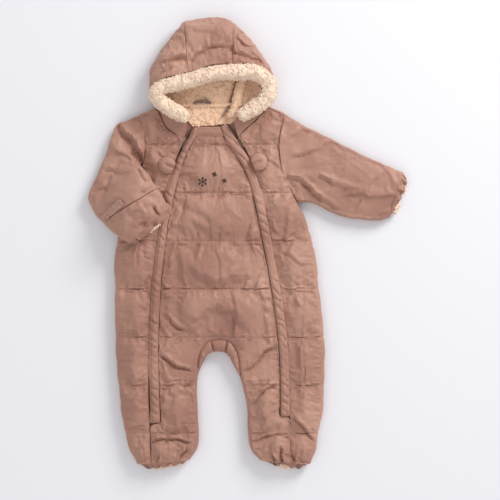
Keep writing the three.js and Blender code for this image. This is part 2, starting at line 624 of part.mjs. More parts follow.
// A closed solid between two grids of the same size. Each row of a wrapped one is a closed ring.
function between(outer, inner, wrapped = false) {
  const close = (rows) => (wrapped ? rows.map((row) => [...row, row[0]]) : rows);
  const [out, inn] = [close(outer), close(inner)];
  const solid = new Faces();
  solid.grid(out, false);
  solid.grid(inn, true);
  const last = out.length - 1;
  solid.grid([inn[0], out[0]], false);
  solid.grid([out[last], inn[last]], false);
  if (!wrapped) {
    const column = (rows, j) => rows.map((row) => row[j]);
    const end = out[0].length - 1;
    solid.grid([column(out, 0), column(inn, 0)], false);
    solid.grid([column(inn, end), column(out, end)], false);
  }
  return solid.geometry();
}

const garment = new THREE.Group();

function addPiece(name, geometry, finish) {
  const piece = new THREE.Mesh(geometry, new THREE.MeshStandardMaterial(finish));
  piece.name = name;
  garment.add(piece);
  return piece;
}

// Height of the top of a finished piece at a place
function topOf(piece, x, y) {
  const place = piece.geometry.getAttribute("position");
  const index = piece.geometry.index.array;
  let high = -Infinity;
  for (let i = 0; i < index.length; i += 3) {
    const [a, b, c] = [0, 1, 2].map((k) => new THREE.Vector3().fromBufferAttribute(place, index[i + k]));
    const area = (b.x - a.x) * (c.y - a.y) - (c.x - a.x) * (b.y - a.y);
    if (area < 1e-6) continue;
    const u = ((x - a.x) * (c.y - a.y) - (c.x - a.x) * (y - a.y)) / area;
    const v = ((b.x - a.x) * (y - a.y) - (x - a.x) * (b.y - a.y)) / area;
    if (u >= -1e-6 && v >= -1e-6 && u + v <= 1 + 1e-6) high = Math.max(high, a.z + u * (b.z - a.z) + v * (c.z - a.z));
  }
  return high;
}

// Points across each row from one edge to the other, each with its height
function across(rows, from, to, columns, height) {
  return rows.map((r) => {
    const line = [];
    for (let j = 0; j <= columns; j++) {
      const f = j / columns;
      const x = mix(r[from + "X"], r[to + "X"], f);
      const y = mix(r[from + "Y"], r[to + "Y"], f);
      line.push(at(x, y, height(x, y)));
    }
    return line;
  });
}

// Columns crowd a little towards the seams by this share
function frontCentre() {
  const split = bodyRows.map((r) => ({
    leftX: r.leftX, leftY: r.leftY, midX: r.midX, midY: (r.leftY + r.rightY) / 2,
    rightX: r.rightX, rightY: r.rightY,
  }));
  const seams = [edge(split, "left"), edge(split, "right"), edge(split.slice(0, 1), "left").concat(
    edge(split.slice(0, 1), "right")), edge(legRowsLeft, "out"), edge(legRowsRight, "out")];
  const height = (x, y) => frontTop(x, y, seams);
  const left = [...across(split, "left", "mid", 7, height), ...across(legRowsLeft, "out", "in", 7, height)];
  const right = [...across(split, "mid", "right", 7, height), ...across(legRowsRight, "in", "out", 7, height)];
  addPiece("front_centre", overLevel([left, right], FRONT_REST), CLOTH);
}

function frontSide(name, rows, mirrored) {
  const seams = [edge(rows, "in"), edge(rows.slice(0, ARMPIT_ROWS), "out"), [
    { x: rows[0].inX, y: rows[0].inY }, { x: rows[0].outX, y: rows[0].outY }]];
  const height = (x, y) => frontTop(x, y, seams);
  const sheet = mirrored ? across(rows, "in", "out", 6, height) : across(rows, "out", "in", 6, height);
  return addPiece(name, overLevel([sheet], FRONT_REST), CLOTH);
}

function backPanel() {
  const body = alongArmhole(smooth(BACK_BODY, 26), SLEEVE_LEFT[0], "left", -1);
  alongArmhole(body, SLEEVE_RIGHT[0], "right", 1);
  const split = body.map((r) => ({
    leftX: r.leftX, leftY: r.leftY, midX: r.midX, midY: (r.leftY + r.rightY) / 2,
    rightX: r.rightX, rightY: r.rightY,
  }));
  const last = split[split.length - 1];
  const start = (side) => ({ outX: last[side + "X"], outY: last[side + "Y"], inX: last.midX, inY: last.midY });
  const legLeft = smooth([start("left"), ...BACK_LEG_LEFT], 19).slice(1);
  const legRight = smooth([start("right"), ...BACK_LEG_RIGHT], 19).slice(1);
  const left = [...across(split, "left", "mid", 6, backUnder), ...across(legLeft, "out", "in", 6, backUnder)];
  const right = [...across(split, "mid", "right", 6, backUnder), ...across(legRight, "in", "out", 6, backUnder)];
  addPiece("back", overLevel([left, right], BACK_THICK, true), CLOTH);
}

// Points round a flattened tube, for its outside and for the slot between its two layers
function sleeveRing(r, sides, thick, lift) {
  const outer = [];
  const inner = [];
  const half = sides / 2;
  const long = Math.hypot(r.inX - r.outX, r.inY - r.outY);
  const middle = thick * 0.42;
  for (let k = 0; k < sides; k++) {
    const turn = (Math.PI * k) / half;
    const s = -Math.cos(turn);
    const upper = k <= half;
    for (const [line, shrink] of [[outer, 1], [inner, 0.84]]) {
      const f = 0.5 + 0.5 * s * shrink;
      const bulge = 4 * f * (1 - f) * r.hollow;
      const x = mix(r.outX, r.inX, f) + bulge;
      const y = mix(r.outY, r.inY, f) + (bulge * (r.outX - r.inX)) / long;
      const swell = Math.sqrt(Math.max(0, 1 - s * s));
      const under = middle * Math.pow(Math.abs(s), 7);
      const skin = upper ? middle + (thick - middle) * swell : under;
      const slot = middle + (upper ? 0.5 : -0.5) * SLOT * swell;
      line.push(at(x, y, lift(x, y) + (shrink === 1 ? skin : slot)));
    }
  }
  return { outer, inner };
}

// A flattened tube. "thickAt" gives its thickness from 0 at its start to 1 at its end.
function sleeve(name, table, count, sides, thickAt, liftAt, mirrored, finish = CLOTH) {
  const rows = smooth(table, count);
  const rings = rows.map((r, i) => {
    const f = i / (count - 1);
    return sleeveRing(r, sides, thickAt(f), (x, y) => liftAt(x, y, f));
  });
  const outer = rings.map((ring) => ring.outer);
  const inner = rings.map((ring) => ring.inner);
  if (mirrored) {
    outer.reverse();
    inner.reverse();
  }
  return addPiece(name, between(outer, inner, true), finish);
}

const onSurface = () => 0;

// The folded sleeve rests on the front and slopes down to the surface beside it
function overBody(x, y) {
  const side = sideRowsLeft.reduce((best, r) => (Math.abs(r.outY - y) < Math.abs(best.outY - y) ? r : best));
  return SLEEVE_LIFT * ease((x - side.outX + 46) / 58);
}

// From the armhole, level with the body, up over the fold
const FOLD_FROM = 0.2;
const FOLD_TO = 0.42;
const foldedLift = (x, y, f) => overBody(x, y) * ease((f - FOLD_FROM) / (FOLD_TO - FOLD_FROM));

function strip(name, table, count, inset, low, high, columns, mirrored, finish) {
  const rows = smooth(table, count).map((r) => {
    const long = Math.hypot(r.inX - r.outX, r.inY - r.outY) || 1;
    const [dx, dy] = [((r.inX - r.outX) / long) * inset, ((r.inY - r.outY) / long) * inset];
    return { outX: r.outX + dx, outY: r.outY + dy, inX: r.inX - dx * 0.3, inY: r.inY - dy * 0.3 };
  });
  const top = rows.map((r) => {
    const line = [];
    for (let j = 0; j <= columns; j++) {
      const f = mirrored ? 1 - j / columns : j / columns;
      const swell = Math.sqrt(Math.max(0, 1 - (2 * f - 1) ** 2));
      line.push(at(mix(r.outX, r.inX, f), mix(r.outY, r.inY, f), mix(high - 3, high, swell)));
    }
    return line;
  });
  addPiece(name, overLevel([top], low), finish);
}

// The zip under a placket, from the side panel's edge to the seam of the placket
function zipStrip(name, table, mirrored) {
  const outward = mirrored ? 1 : -1;
  const rows = smooth(table, 36).map((r) => ({
    outX: r.outX + outward * zipShows(r.outY),
    outY: r.outY,
    inX: r.inX + outward * 4,
    inY: r.inY,
  }));
  const [from, to] = mirrored ? ["in", "out"] : ["out", "in"];
  addPiece(name, overLevel([across(rows, from, to, 1, () => ZIP_TOP)], FRONT_REST), TAPE);
}

function hoodPanel(name, table, count) {
  const rows = smooth(table, count);
  const leftwards = table[0].faceX > table[1].faceX;
  const TOP_STEPS = 7;
  const UNDER_STEPS = 8;
  const outer = [];
  const inner = [];
  rows.forEach((r, i) => {
    const f = i / (count - 1);
    const swell = 4 * Math.sin(Math.PI * f);
    const reach = Math.hypot(r.rimX - r.faceX, r.rimY - r.faceY);
    const crown = mix(HOOD_RIM + 12, HOOD_CROWN, limit(reach / 60, 0, 1));
    const under = Math.hypot(r.rimX - r.neckX, r.rimY - r.neckY);
    for (const [grid, wall] of [[outer, 0], [inner, HOOD_WALL]]) {
      const line = [];
      const pull = wall / Math.max(under, 1);
      const rimX = mix(r.rimX, r.neckX, pull);
      const rimY = mix(r.rimY, r.neckY, pull);
      const top = crown - wall + (wall ? 0 : swell);
      for (let k = 0; k <= TOP_STEPS; k++) {
        const a = Math.sin(((k / TOP_STEPS) * Math.PI) / 2);
        const z = mix(HOOD_RIM, top, Math.sqrt(1 - a ** 2.4));
        line.push(at(mix(r.faceX, rimX, a), mix(r.faceY, rimY, a), z));
      }
      for (let k = 1; k <= UNDER_STEPS; k++) {
        const turn = Math.min(1, k / 4) * (Math.PI / 2);
        const curl = (HOOD_RIM - wall) * (1 - Math.cos(turn));
        const straight = Math.max(0, (k - 4) / 4) * (under - wall - (HOOD_RIM - wall));
        const b = limit((curl + straight) / (under - wall), 0, 1);
        const z = wall + (HOOD_RIM - wall) * (1 - Math.sin(turn));
        line.push(at(mix(rimX, r.neckX, b), mix(rimY, r.neckY, b), z));
      }
      grid.push(line);
    }
  });
  if (leftwards) [outer, inner].forEach((grid) => grid.reverse());
  addPiece(name, between(outer, inner), CLOTH);
}

// A closed round roll through a table of centres and radii
function roll(name, table, count, sides, finish) {
  const rows = smooth(table, count);
  const rings = [];
  const middle = (r) => at(r.x, r.y, r.z);
  const ends = [rows[0], rows[count - 1]].map((r) => Array.from({ length: sides }, () => middle(r)));
  rings.push(ends[0]);
  rows.forEach((r, i) => {
    const ahead = middle(rows[Math.min(i + 1, count - 1)]).sub(middle(rows[Math.max(i - 1, 0)])).normalize();
    const side = new THREE.Vector3(0, 0, 1).cross(ahead).normalize();
    const up = ahead.clone().cross(side);
    rings.push(Array.from({ length: sides }, (_, k) => {
      const turn = (2 * Math.PI * k) / sides;
      return middle(r).addScaledVector(side, Math.cos(turn) * r.r).addScaledVector(up, Math.sin(turn) * r.r);
    }));
  });
  rings.push(ends[1]);
  const solid = new Faces();
  solid.grid(rings.map((ring) => [...ring, ring[0]]), true);
  addPiece(name, solid.geometry(), finish);
}

// A pad over a level: a four-sided patch between two edges, with its height at each place
function pad(name, table, count, columns, low, heightOf, finish, mirrored = false) {
  const rows = smooth(table, count);
  const sheet = rows.map((r, i) => {
    const line = [];
    for (let j = 0; j <= columns; j++) {
      const f = mirrored ? 1 - j / columns : j / columns;
      line.push(at(mix(r.outX, r.inX, f), mix(r.outY, r.inY, f), heightOf(i / (count - 1), f)));
    }
    return line;
  });
  addPiece(name, overLevel([sheet], low), finish);
}

// The gathered strip inside the crotch, from the front's seam down to its own lower edge
function crotchGusset() {
  const left = legRowsLeft.filter((r) => r.inY > -197).reverse();
  const right = legRowsRight.filter((r) => r.inY > -211);
  const crotch = { inX: bodyRows[bodyRows.length - 1].midX, inY: bodyRows[bodyRows.length - 1].leftY };
  const seam = [...left, crotch, ...right].map((r) => ({ x: r.inX, y: r.inY }));
  const lower = smooth(GUSSET_EDGE, seam.length);
  const rows = seam.map((p, i) => {
    const [before, after] = [seam[Math.max(i - 1, 0)], seam[Math.min(i + 1, seam.length - 1)]];
    const long = Math.hypot(after.x - before.x, after.y - before.y);
    const [nx, ny] = [(after.y - before.y) / long, (before.x - after.x) / long];
    const [outX, outY] = [p.x + nx * 2 * SEAM_GAP, p.y + ny * 2 * SEAM_GAP];
    return { outX, outY, inX: lower[i].x, inY: lower[i].y };
  });
  const gather = (i) => 1.5 * Math.sin(i * 2.1) + 1.2 * Math.sin(i * 3.4);
  const sheet = rows.map((r, i) => [0, 0.35, 0.7, 1].map((f) => {
    const z = FRONT_REST + 2.4 + (4.6 + gather(i)) * Math.sin(Math.PI * mix(0.12, 0.9, f));
    return at(mix(r.inX, r.outX, f), mix(r.inY, r.outY, f), z);
  }));
  addPiece("crotch_gusset", overLevel([sheet], FRONT_REST), CLOTH);
}

// A small rounded tab, lying on the panel under it
function earTab(name, centreX, centreY, outward, panel) {
  const [alongX, alongY] = [outward * 0.91, 0.41];
  const STEPS = 8;
  const COLUMNS = 6;
  const top = [];
  const under = [];
  for (let i = 0; i <= STEPS; i++) {
    const v = mix(-0.8, 0.995, i / STEPS);
    const wide = EAR_SIZE * Math.sqrt(1 - v * v);
    const above = [];
    const below = [];
    for (let j = 0; j <= COLUMNS; j++) {
      const u = (j / COLUMNS) * 2 - 1;
      const x = centreX + alongX * v * EAR_SIZE - alongY * u * wide * outward;
      const y = centreY + alongY * v * EAR_SIZE + alongX * u * wide * outward;
      const base = Math.max(topOf(panel, x, y), FRONT_REST + STITCHED_RISE) + EAR_CLEAR;
      const full = Math.sqrt(1 - u * u * 0.94) * Math.sqrt(1 - v * v * 0.94);
      const tuck = 2 * Math.exp(-((u * wide) ** 2) / 6) * ease((0.55 - v) / 0.5);
      below.push(at(x, y, base));
      above.push(at(x, y, base + 1.2 + EAR_THICK * full - tuck));
    }
    top.push(above);
    under.push(below);
  }
  if (outward > 0) [top, under].forEach((grid) => grid.reverse());
  addPiece(name, between(top.reverse(), under.reverse()), CLOTH);
}

// The elastic tab across the folded cuff, made from the sleeve's own surface moved out
function cuffStrap(piece) {
  const rows = smooth(SLEEVE_LEFT, 97).slice(88, 95);
  const top = [];
  const under = [];
  rows.forEach((r, i) => {
    const end = mix(0.1, -0.12, Math.abs(i / (rows.length - 1) - 0.5) * 2);
    const line = [];
    for (let k = 0; k <= 8; k++) {
      const s = mix(-0.93, end, k / 8);
      const f = 0.5 + 0.5 * s;
      const [x, y] = [mix(r.outX, r.inX, f), mix(r.outY, r.inY, f)];
      line.push(at(x, y, topOf(piece, x, y)));
    }
    under.push(line.map((p) => at(p.x, p.y, p.z + STRAP_CLEAR)));
    top.push(line.map((p) => at(p.x, p.y, p.z + STRAP_CLEAR + STRAP_THICK)));
  });
  addPiece("cuff_strap", between(top, under), CLOTH);
}

// A box with its own axes: along (in the plane), across and up
function block(long, wide, high, where, angle) {
  const box = new THREE.BoxGeometry(long, wide, high);
  box.deleteAttribute("normal");
  box.deleteAttribute("uv");
  const made = mergeVertices(box, 1e-3);
  made.applyMatrix4(new THREE.Matrix4().makeRotationZ(angle));
  made.translate(where.x, where.y, where.z);
  return made;
}

// A flat pull tab with a rounded end and a hole, hinged over its slider
function pullTab(width, long, thick, where, angle) {
  const outline = new THREE.Shape();
  const half = width / 2;
  outline.moveTo(0, -half);
  outline.lineTo(long - half, -half);
  outline.absarc(long - half, 0, half, -Math.PI / 2, Math.PI / 2, false);
  outline.lineTo(0, half);
  outline.closePath();
  const tab = new THREE.ExtrudeGeometry(outline, { depth: thick, bevelEnabled: false, curveSegments: 8 });
  tab.deleteAttribute("normal");
  tab.deleteAttribute("uv");
  const made = mergeVertices(tab, 1e-3);
  made.applyMatrix4(new THREE.Matrix4().makeRotationZ(angle));
  made.translate(where.x, where.y, where.z - thick / 2);
  return made;
}

function slider(side, where, angle) {
  const body = block(SLIDER_LONG, SLIDER_WIDE, SLIDER_HIGH, at(where.x, where.y, SLIDER_REST + SLIDER_HIGH / 2), angle);
  addPiece("zip_slider_" + side, body, METAL);
  const pin = at(where.x, where.y, PULL_LEVEL);
  addPiece("zip_pull_" + side, pullTab(PULL_WIDE, PULL_LONG, PULL_THICK, pin, angle), METAL);
}

frontCentre();
const panelLeft = frontSide("front_left", sideRowsLeft, false);
const panelRight = frontSide("front_right", sideRowsRight, true);
backPanel();

const sleeveLeft = sleeve("sleeve_left", SLEEVE_LEFT, 24, 14, (f) => mix(22, SLEEVE_THICK, ease(f * 3)), foldedLift, false);
sleeve("hand_cover_left", HAND_COVER_LEFT, 7, 14, (f) => mix(SLEEVE_THICK - 1, 22, f), overBody, false);
sleeve("cuff_left", CUFF_LEFT, 3, 14, (f) => mix(20, 14, f), overBody, false);
sleeve("sleeve_right", SLEEVE_RIGHT, 20, 14, (f) => mix(22, SLEEVE_THICK, Math.sin(Math.PI * f) ** 0.5), onSurface,
  true);
sleeve("cuff_right", CUFF_RIGHT, 3, 14, (f) => mix(20, 15, f), onSurface, true);
sleeve("foot_hem_left", FOOT_HEM_LEFT, 3, 14, (f) => mix(21, 15, f), onSurface, false);
sleeve("foot_hem_right", FOOT_HEM_RIGHT, 3, 14, (f) => mix(21, 15, f), onSurface, true);

strip("placket_left", PLACKET_LEFT, 42, ZIP_SLIT, PLACKET_REST, PLACKET_TOP, 3, false, CLOTH);
strip("placket_right", PLACKET_RIGHT, 42, ZIP_SLIT, PLACKET_REST, PLACKET_TOP, 3, true, CLOTH);
zipStrip("zip_left", PLACKET_LEFT, false);
zipStrip("zip_right", PLACKET_RIGHT, true);

hoodPanel("hood_left", HOOD_LEFT, 9);
hoodPanel("hood_centre", HOOD_CENTRE, 7);
hoodPanel("hood_right", HOOD_RIGHT, 9);
roll("hood_trim", TRIM_PATH, 46, 8, PILE);

const collarHeight = (i, f) => mix(27.1, 21.4, ease(f));
pad("collar_left", COLLAR_LEFT, 13, 3, FRONT_REST, collarHeight, CLOTH, true);
pad("collar_right", COLLAR_RIGHT, 13, 3, FRONT_REST, collarHeight, CLOTH);
pad("neck_band", NECK_BAND, 4, 10, FRONT_REST, (i, f) => 20 + 4 * Math.sin(Math.PI * mix(0.15, 0.85, i)), CLOTH);
pad("back_lining", BACK_LINING, 7, 8, FRONT_REST, () => 15.4, PILE);
const liningHeight = (i, f) => LINING_TOP + 9 * Math.exp(-(((f - 0.86) * 9) ** 2)) * ease((0.6 - i) / 0.3);
pad("hood_lining", HOOD_LINING, 9, 12, HOOD_WALL + SEAM_GAP, liningHeight, PILE, true);
pad("hanger_loop", HANGER_LOOP, 4, 6, LINING_TOP + 0.5, () => LINING_TOP + 2, RIBBON);
crotchGusset();
earTab("ear_left", -130.5, 128, -1, panelLeft);
earTab("ear_right", 15.8, 131, 1, panelRight);
cuffStrap(sleeveLeft);
slider("left", { x: -101, y: 164 }, SLIDER_TURN_LEFT);
slider("right", { x: -16.4, y: 164 }, SLIDER_TURN_RIGHT);

// The origin goes under the middle of the suit
const bounds = new THREE.Box3().setFromObject(garment);
const middle = bounds.getCenter(new THREE.Vector3());
for (const piece of garment.children) piece.geometry.translate(-middle.x, -middle.y, -bounds.min.z);

export default garment;
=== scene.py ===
"""A baby's hooded snowsuit of quilted padded cloth, laid out flat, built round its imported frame.

Sizes in the tables and classes are millimetres, as they are on the maker's pattern, in a frame whose
origin lies under the middle of the suit before it is centred. Meshes are made in metres.
"left" and "right" are the sides that the viewer sees.
"""

from __future__ import annotations

import logging
import math
from dataclasses import dataclass, field
from enum import Enum
from typing import Callable, Iterable, Sequence

import bpy
import numpy as np
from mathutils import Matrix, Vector
from mathutils.bvhtree import BVHTree


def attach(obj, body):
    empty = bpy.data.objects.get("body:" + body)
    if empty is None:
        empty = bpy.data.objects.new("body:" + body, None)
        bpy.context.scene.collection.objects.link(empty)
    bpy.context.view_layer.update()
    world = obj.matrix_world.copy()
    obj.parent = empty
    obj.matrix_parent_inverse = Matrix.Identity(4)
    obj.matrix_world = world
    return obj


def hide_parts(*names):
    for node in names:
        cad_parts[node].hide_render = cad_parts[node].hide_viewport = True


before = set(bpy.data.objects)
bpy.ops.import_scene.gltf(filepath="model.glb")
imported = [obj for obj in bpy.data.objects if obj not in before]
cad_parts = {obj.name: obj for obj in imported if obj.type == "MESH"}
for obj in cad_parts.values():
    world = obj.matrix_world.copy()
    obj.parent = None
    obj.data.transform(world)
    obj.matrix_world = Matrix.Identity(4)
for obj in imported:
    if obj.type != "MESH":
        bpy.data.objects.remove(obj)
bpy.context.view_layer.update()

LOG = logging.getLogger("snowsuit")
MM = 0.001
SHIFT_X = -0.7255  # millimetres from the tables' frame to the centred one
SUIT = "suit"

Array = np.ndarray
Columns = dict[str, Array]
Faces = list[tuple[int, ...]]
EDGES = "out_x out_y in_x in_y"  # columns of a table that gives a piece's two edges
HOLLOW = EDGES + " hollow"
LINE = "x_from y_from x_to y_to"
FOLD = LINE + " deep wide"


@dataclass(frozen=True)
class Table:
    """A maker's table: one row for each section, with named columns."""

    columns: str
    rows: tuple[tuple[float, ...], ...]

    def smooth(self, count: int) -> Columns:
        """Puts more rows on a smooth curve through each column.

        Args:
            count: how many rows to make.

        Returns:
            One array for each column.
        """
        data = np.array(self.rows, float)
        place = np.linspace(0, len(data) - 1, count)
        k = np.minimum(place.astype(int), len(data) - 2)
        f = (place - k)[:, None]
        b, c = data[k], data[k + 1]
        a = np.where((k > 0)[:, None], data[np.maximum(k - 1, 0)], 2 * b - c)
        d = np.where((k + 2 < len(data))[:, None], data[np.minimum(k + 2, len(data) - 1)], 2 * c - b)
        made = b + 0.5 * f * (c - a + f * (2 * a - 5 * b + 4 * c - d + f * (3 * b - a - 3 * c + d)))
        return dict(zip(self.columns.split(), made.T))

    def even(self, step: float) -> Columns:
        """Puts rows at even distances along the table.

        Args:
            step: the distance between rows, in millimetres.

        Returns:
            One array for each column.
        """
        return even_rows(self.smooth(len(self.rows) * 24), step)


def run_along(line: Array) -> Array:
    """Returns how far each point lies along its line."""
    return np.concatenate([[0], np.cumsum(np.linalg.norm(np.diff(line, axis=0), axis=1))])


def spaced(line: Array, step: float, least: int = 3) -> tuple[Array, Array]:
    """Puts points at even distances on a line in the plane.

    Args:
        line: the line's corners, one a row.
        step: the distance between the points.
        least: how many points there are at least.

    Returns:
        How far each point lies along the line, and the points.
    """
    run = run_along(line)
    at = np.linspace(0, run[-1], max(least, round(run[-1] / step) + 1))
    return at, np.stack([np.interp(at, run, line[:, k]) for k in (0, 1)], 1)


def even_rows(rows: Columns, step: float) -> Columns:
    """Spaces rows evenly along the middle of a piece.

    Args:
        rows: the rows.
        step: the distance between them, in millimetres.

    Returns:
        The new rows.
    """
    if "out_x" in rows:
        middle = np.stack([rows["out_x"] + rows["in_x"], rows["out_y"] + rows["in_y"]], 1) / 2
    else:
        middle = np.stack([rows["x"], rows["y"]], 1)
    run = run_along(middle)
    at = np.linspace(0, run[-1], max(3, round(run[-1] / step) + 1))
    return {name: np.interp(at, run, column) for name, column in rows.items()}


FRONT_LEFT = Table(EDGES, (
    (-176, 206, -149, 217), (-171, 195, -142, 205), (-167, 182, -135, 188), (-166, 168, -122, 177),
    (-166, 154, -104, 168), (-167, 141, -110, 150), (-168, 130, -117, 133), (-176, 108, -126, 107),
    (-185, 85, -134, 82), (-194, 62, -139, 56), (-203, 34, -144, 26), (-211, 2, -148, -3),
    (-214, -32, -152, -36), (-214, -68, -156, -72), (-214, -104, -158, -106), (-213, -138, -159, -138),
    (-212, -170, -160, -170), (-210, -205, -161, -205), (-207, -240, -161, -240), (-202, -276, -160, -276),
    (-197, -304, -159, -304), (-191, -328, -158, -330), (-178, -352, -157, -350.2),
))
FRONT_RIGHT = Table(EDGES, (
    (56, 209, 33, 219), (52, 199, 27, 214), (49, 187, 18, 204), (47, 173, 6, 192), (47, 158, -6, 182),
    (50, 140, -17, 169), (54, 123, -9, 150), (61, 104, 2, 132), (68, 86, 12, 112), (76, 67, 19, 88),
    (85, 50, 24, 65), (93, 28, 30, 34), (101, 2, 36, 4), (106, -28, 41, -25), (110, -58, 47, -53),
    (114, -94, 53, -90), (118, -134, 59, -134), (120, -170, 62, -170), (120, -206, 64, -204),
    (119, -240, 65, -240), (116, -272, 66, -272), (110, -303, 67, -303), (106, -330, 67, -330),
    (97, -352, 68, -349.8),
))
CENTRE_BODY = Table("left_x left_y mid_x right_x right_y", (
    (-83, 172, -63, -42, 172), (-92, 158, -61, -32, 158), (-102, 135, -58, -17, 135), (-109, 116, -56, -7, 116),
    (-114, 98, -55, 0, 98), (-118, 82, -54, 5, 82), (-123, 58, -53, 10, 58), (-129, 30, -52, 16, 30),
    (-133, 2, -51, 21, 2), (-136, -27, -50, 27, -27), (-139, -55, -50, 32, -55), (-141, -83, -49, 37, -83),
    (-142, -110, -49, 41, -110), (-143, -134, -48, 44, -134), (-144, -153, -47, 46, -153),
))
CENTRE_LEG_LEFT = Table(EDGES, (
    (-144, -162, -61, -155), (-144, -170, -70, -161), (-144, -178, -77, -171), (-144, -190, -81, -186),
    (-143, -210, -82, -206), (-143, -232, -84, -230), (-142, -256, -83, -254), (-141, -285, -82, -282),
    (-157, -291, -82, -290), (-157, -310, -81, -308), (-156, -332, -84, -328), (-156.3, -350.2, -95, -345),
))
CENTRE_LEG_RIGHT = Table(EDGES, (
    (47, -162, -34, -155), (47, -170, -26, -161), (48, -178, -20, -171), (48, -190, -16, -186),
    (49, -210, -14, -208), (49, -232, -9, -232), (49, -256, -3, -256), (49, -274, -2, -274),
    (65, -280, -2, -284), (66, -304, -1, -306), (66, -332, 4, -330), (67.3, -349.7, 18, -346),
))
BACK_BODY = Table("left_x left_y mid_x right_x right_y", (
    (-149, 217, -60, 33, 219), (-176, 205, -60, 56, 208), (-167, 182, -60, 49, 185), (-166, 155, -60, 47, 156),
    (-167.6, 129, -59, 54, 122), (-185, 85, -57, 69, 84), (-194, 62, -56, 78, 63), (-206, 22, -54, 95, 22),
    (-214, -30, -52, 106, -30), (-214, -85, -50, 113, -85), (-213, -134, -49, 118, -134),
    (-212, -168, -48, 120, -168),
))
BACK_LEG_LEFT = Table(EDGES, (
    (-211, -182, -66, -177), (-210, -200, -77, -196), (-209, -218, -83, -216), (-204, -260, -84, -258),
    (-197, -304, -81, -300), (-190, -330, -83, -326), (-178, -352, -95, -345),
))
BACK_LEG_RIGHT = Table(EDGES, (
    (120, -182, -34, -177), (120, -200, -23, -196), (120, -218, -13, -216), (118, -260, -3, -258),
    (110, -304, -1, -306), (106, -330, 4, -330), (97, -352, 18, -346),
))
SLEEVE_LEFT = Table(HOLLOW, (
    (-176.6, 206, -168.6, 130, 6), (-187, 202, -171, 128, 4), (-199, 198, -173, 127, 2),
    (-211, 194, -174, 126, 0), (-218, 181, -172, 124, 0), (-227, 155, -167, 119, 0), (-238, 125, -162, 114, 0),
    (-250, 97, -157, 107, 0), (-258, 74, -153, 100, 0), (-251, 54, -149, 94, 0), (-235, 35, -145, 89, 0),
))
HAND_COVER_LEFT = Table(HOLLOW, (
    (-234.4, 34.4, -144.6, 88.4, 0), (-219, 20, -138, 78, 0), (-203, 7, -131, 66, 0), (-193, -1, -126, 58, 0),
))
CUFF_LEFT = Table(HOLLOW, (
    (-191.6, -1.6, -125.4, 57.4, 0), (-186, -6, -122, 50, 0),
))
SLEEVE_RIGHT = Table(HOLLOW, (
    (56.8, 209, 76.8, 67, -17), (72, 199, 86, 66, -10), (92, 188, 100, 66, -4), (114, 177, 114, 60, 0),
    (132, 168, 130, 52, 0), (150, 159, 147, 46, 0), (170, 149, 167, 41, 0), (190, 140, 187, 38, 0),
    (210, 131, 205, 38, 0), (230, 122, 218, 40, 0), (247, 115, 226, 43, 0),
))
CUFF_RIGHT = Table(HOLLOW, (
    (247.6, 114.6, 226.6, 43.4, 0), (259, 107, 232, 44, 0),
))
FOOT_HEM_LEFT = Table(HOLLOW, (
    (-178, -353, -95, -346, 0), (-169, -363, -96, -352, 0),
))
FOOT_HEM_RIGHT = Table(HOLLOW, (
    (97, -353, 18, -347, 0), (92, -362, 30, -354, 0),
))
PLACKET_LEFT = Table(EDGES, (
    (-88, 186, -82, 186), (-95, 170, -84, 172), (-102, 157, -93, 158), (-114, 134, -103, 135),
    (-125, 107, -112, 107), (-133, 82, -119, 82), (-138, 56, -124, 56), (-143, 26, -130, 26),
    (-147, -3, -134, -3), (-151, -36, -138, -36), (-155, -72, -141, -72), (-157, -106, -143, -106),
    (-158, -138, -144.5, -138), (-159, -170, -145, -170), (-160, -205, -144.5, -205),
    (-160, -240, -143.5, -240), (-159, -268, -142.5, -268), (-158.5, -284, -142, -284),
))
PLACKET_RIGHT = Table(EDGES, (
    (-38, 192, -45, 186), (-25, 173, -40, 172), (-14, 156, -31, 157), (-1, 136, -16, 135), (9.5, 113, -4, 112),
    (17, 90, 4, 88), (23, 66, 10, 65), (29, 35, 16, 34), (35, 4, 22, 4), (40, -25, 28, -25), (46, -53, 33, -53),
    (52, -90, 39, -90), (58, -134, 45, -134), (61, -170, 48.5, -170), (63, -204, 50, -204),
    (64, -240, 50.5, -240), (64.5, -273, 50.5, -273),
))
GUSSET_EDGE = Table("x y", (
    (-78.5, -195), (-74, -186), (-67, -178), (-58, -173), (-48, -172), (-38, -174), (-31, -181), (-26, -191),
    (-20, -202), (-15.5, -211),
))
COLLAR_LEFT = Table(EDGES, (
    (-149, 226, -147.6, 218.6), (-138, 222, -140.6, 206.4), (-126, 214, -133.4, 190), (-113, 206, -121, 179),
    (-99, 196, -103.8, 170),
))
COLLAR_RIGHT = Table(EDGES, (
    (31, 229, 31.6, 221), (20, 224, 25.6, 215.6), (9, 216, 16.6, 205.8), (-3, 208, 4.6, 193.8),
    (-13, 202, -7, 184.2), (-24, 196, -17.4, 172.6),
))
NECK_BAND = Table(EDGES, (
    (-81.8, 187, -46.2, 187), (-83.4, 172.5, -41.2, 172.5),
))
BACK_LINING = Table(EDGES, (
    (-130, 218.4, 12, 218.4), (-115, 210, -4, 210), (-103, 202, -17, 202), (-94, 194, -29, 194),
    (-90, 188.5, -40, 192.6),
))
HOOD_LINING = Table(EDGES, (
    (-132, 222, 15, 222), (-137, 240, 20, 240), (-134, 262, 12, 262), (-126, 285, 0, 285),
    (-112, 308, -12, 308), (-98, 326, -28, 326), (-84, 338, -42, 338),
))
HANGER_LOOP = Table(EDGES, (
    (-88, 231, -61, 231), (-88, 223.5, -61, 223.5),
))
HOOD_LEFT = Table("face_x face_y rim_x rim_y neck_x neck_y", (
    (-96.4, 273.5, -104.4, 356, -96.4, 217.9), (-112, 269.5, -120, 337, -108, 217.77),
    (-127, 266, -134, 319, -119, 217.65), (-140, 261, -147, 299, -129, 217.54),
    (-149, 256, -157, 279, -138, 217.44), (-155, 249, -160, 260, -145, 217.6),
    (-157, 240, -159, 243, -150, 221),
))
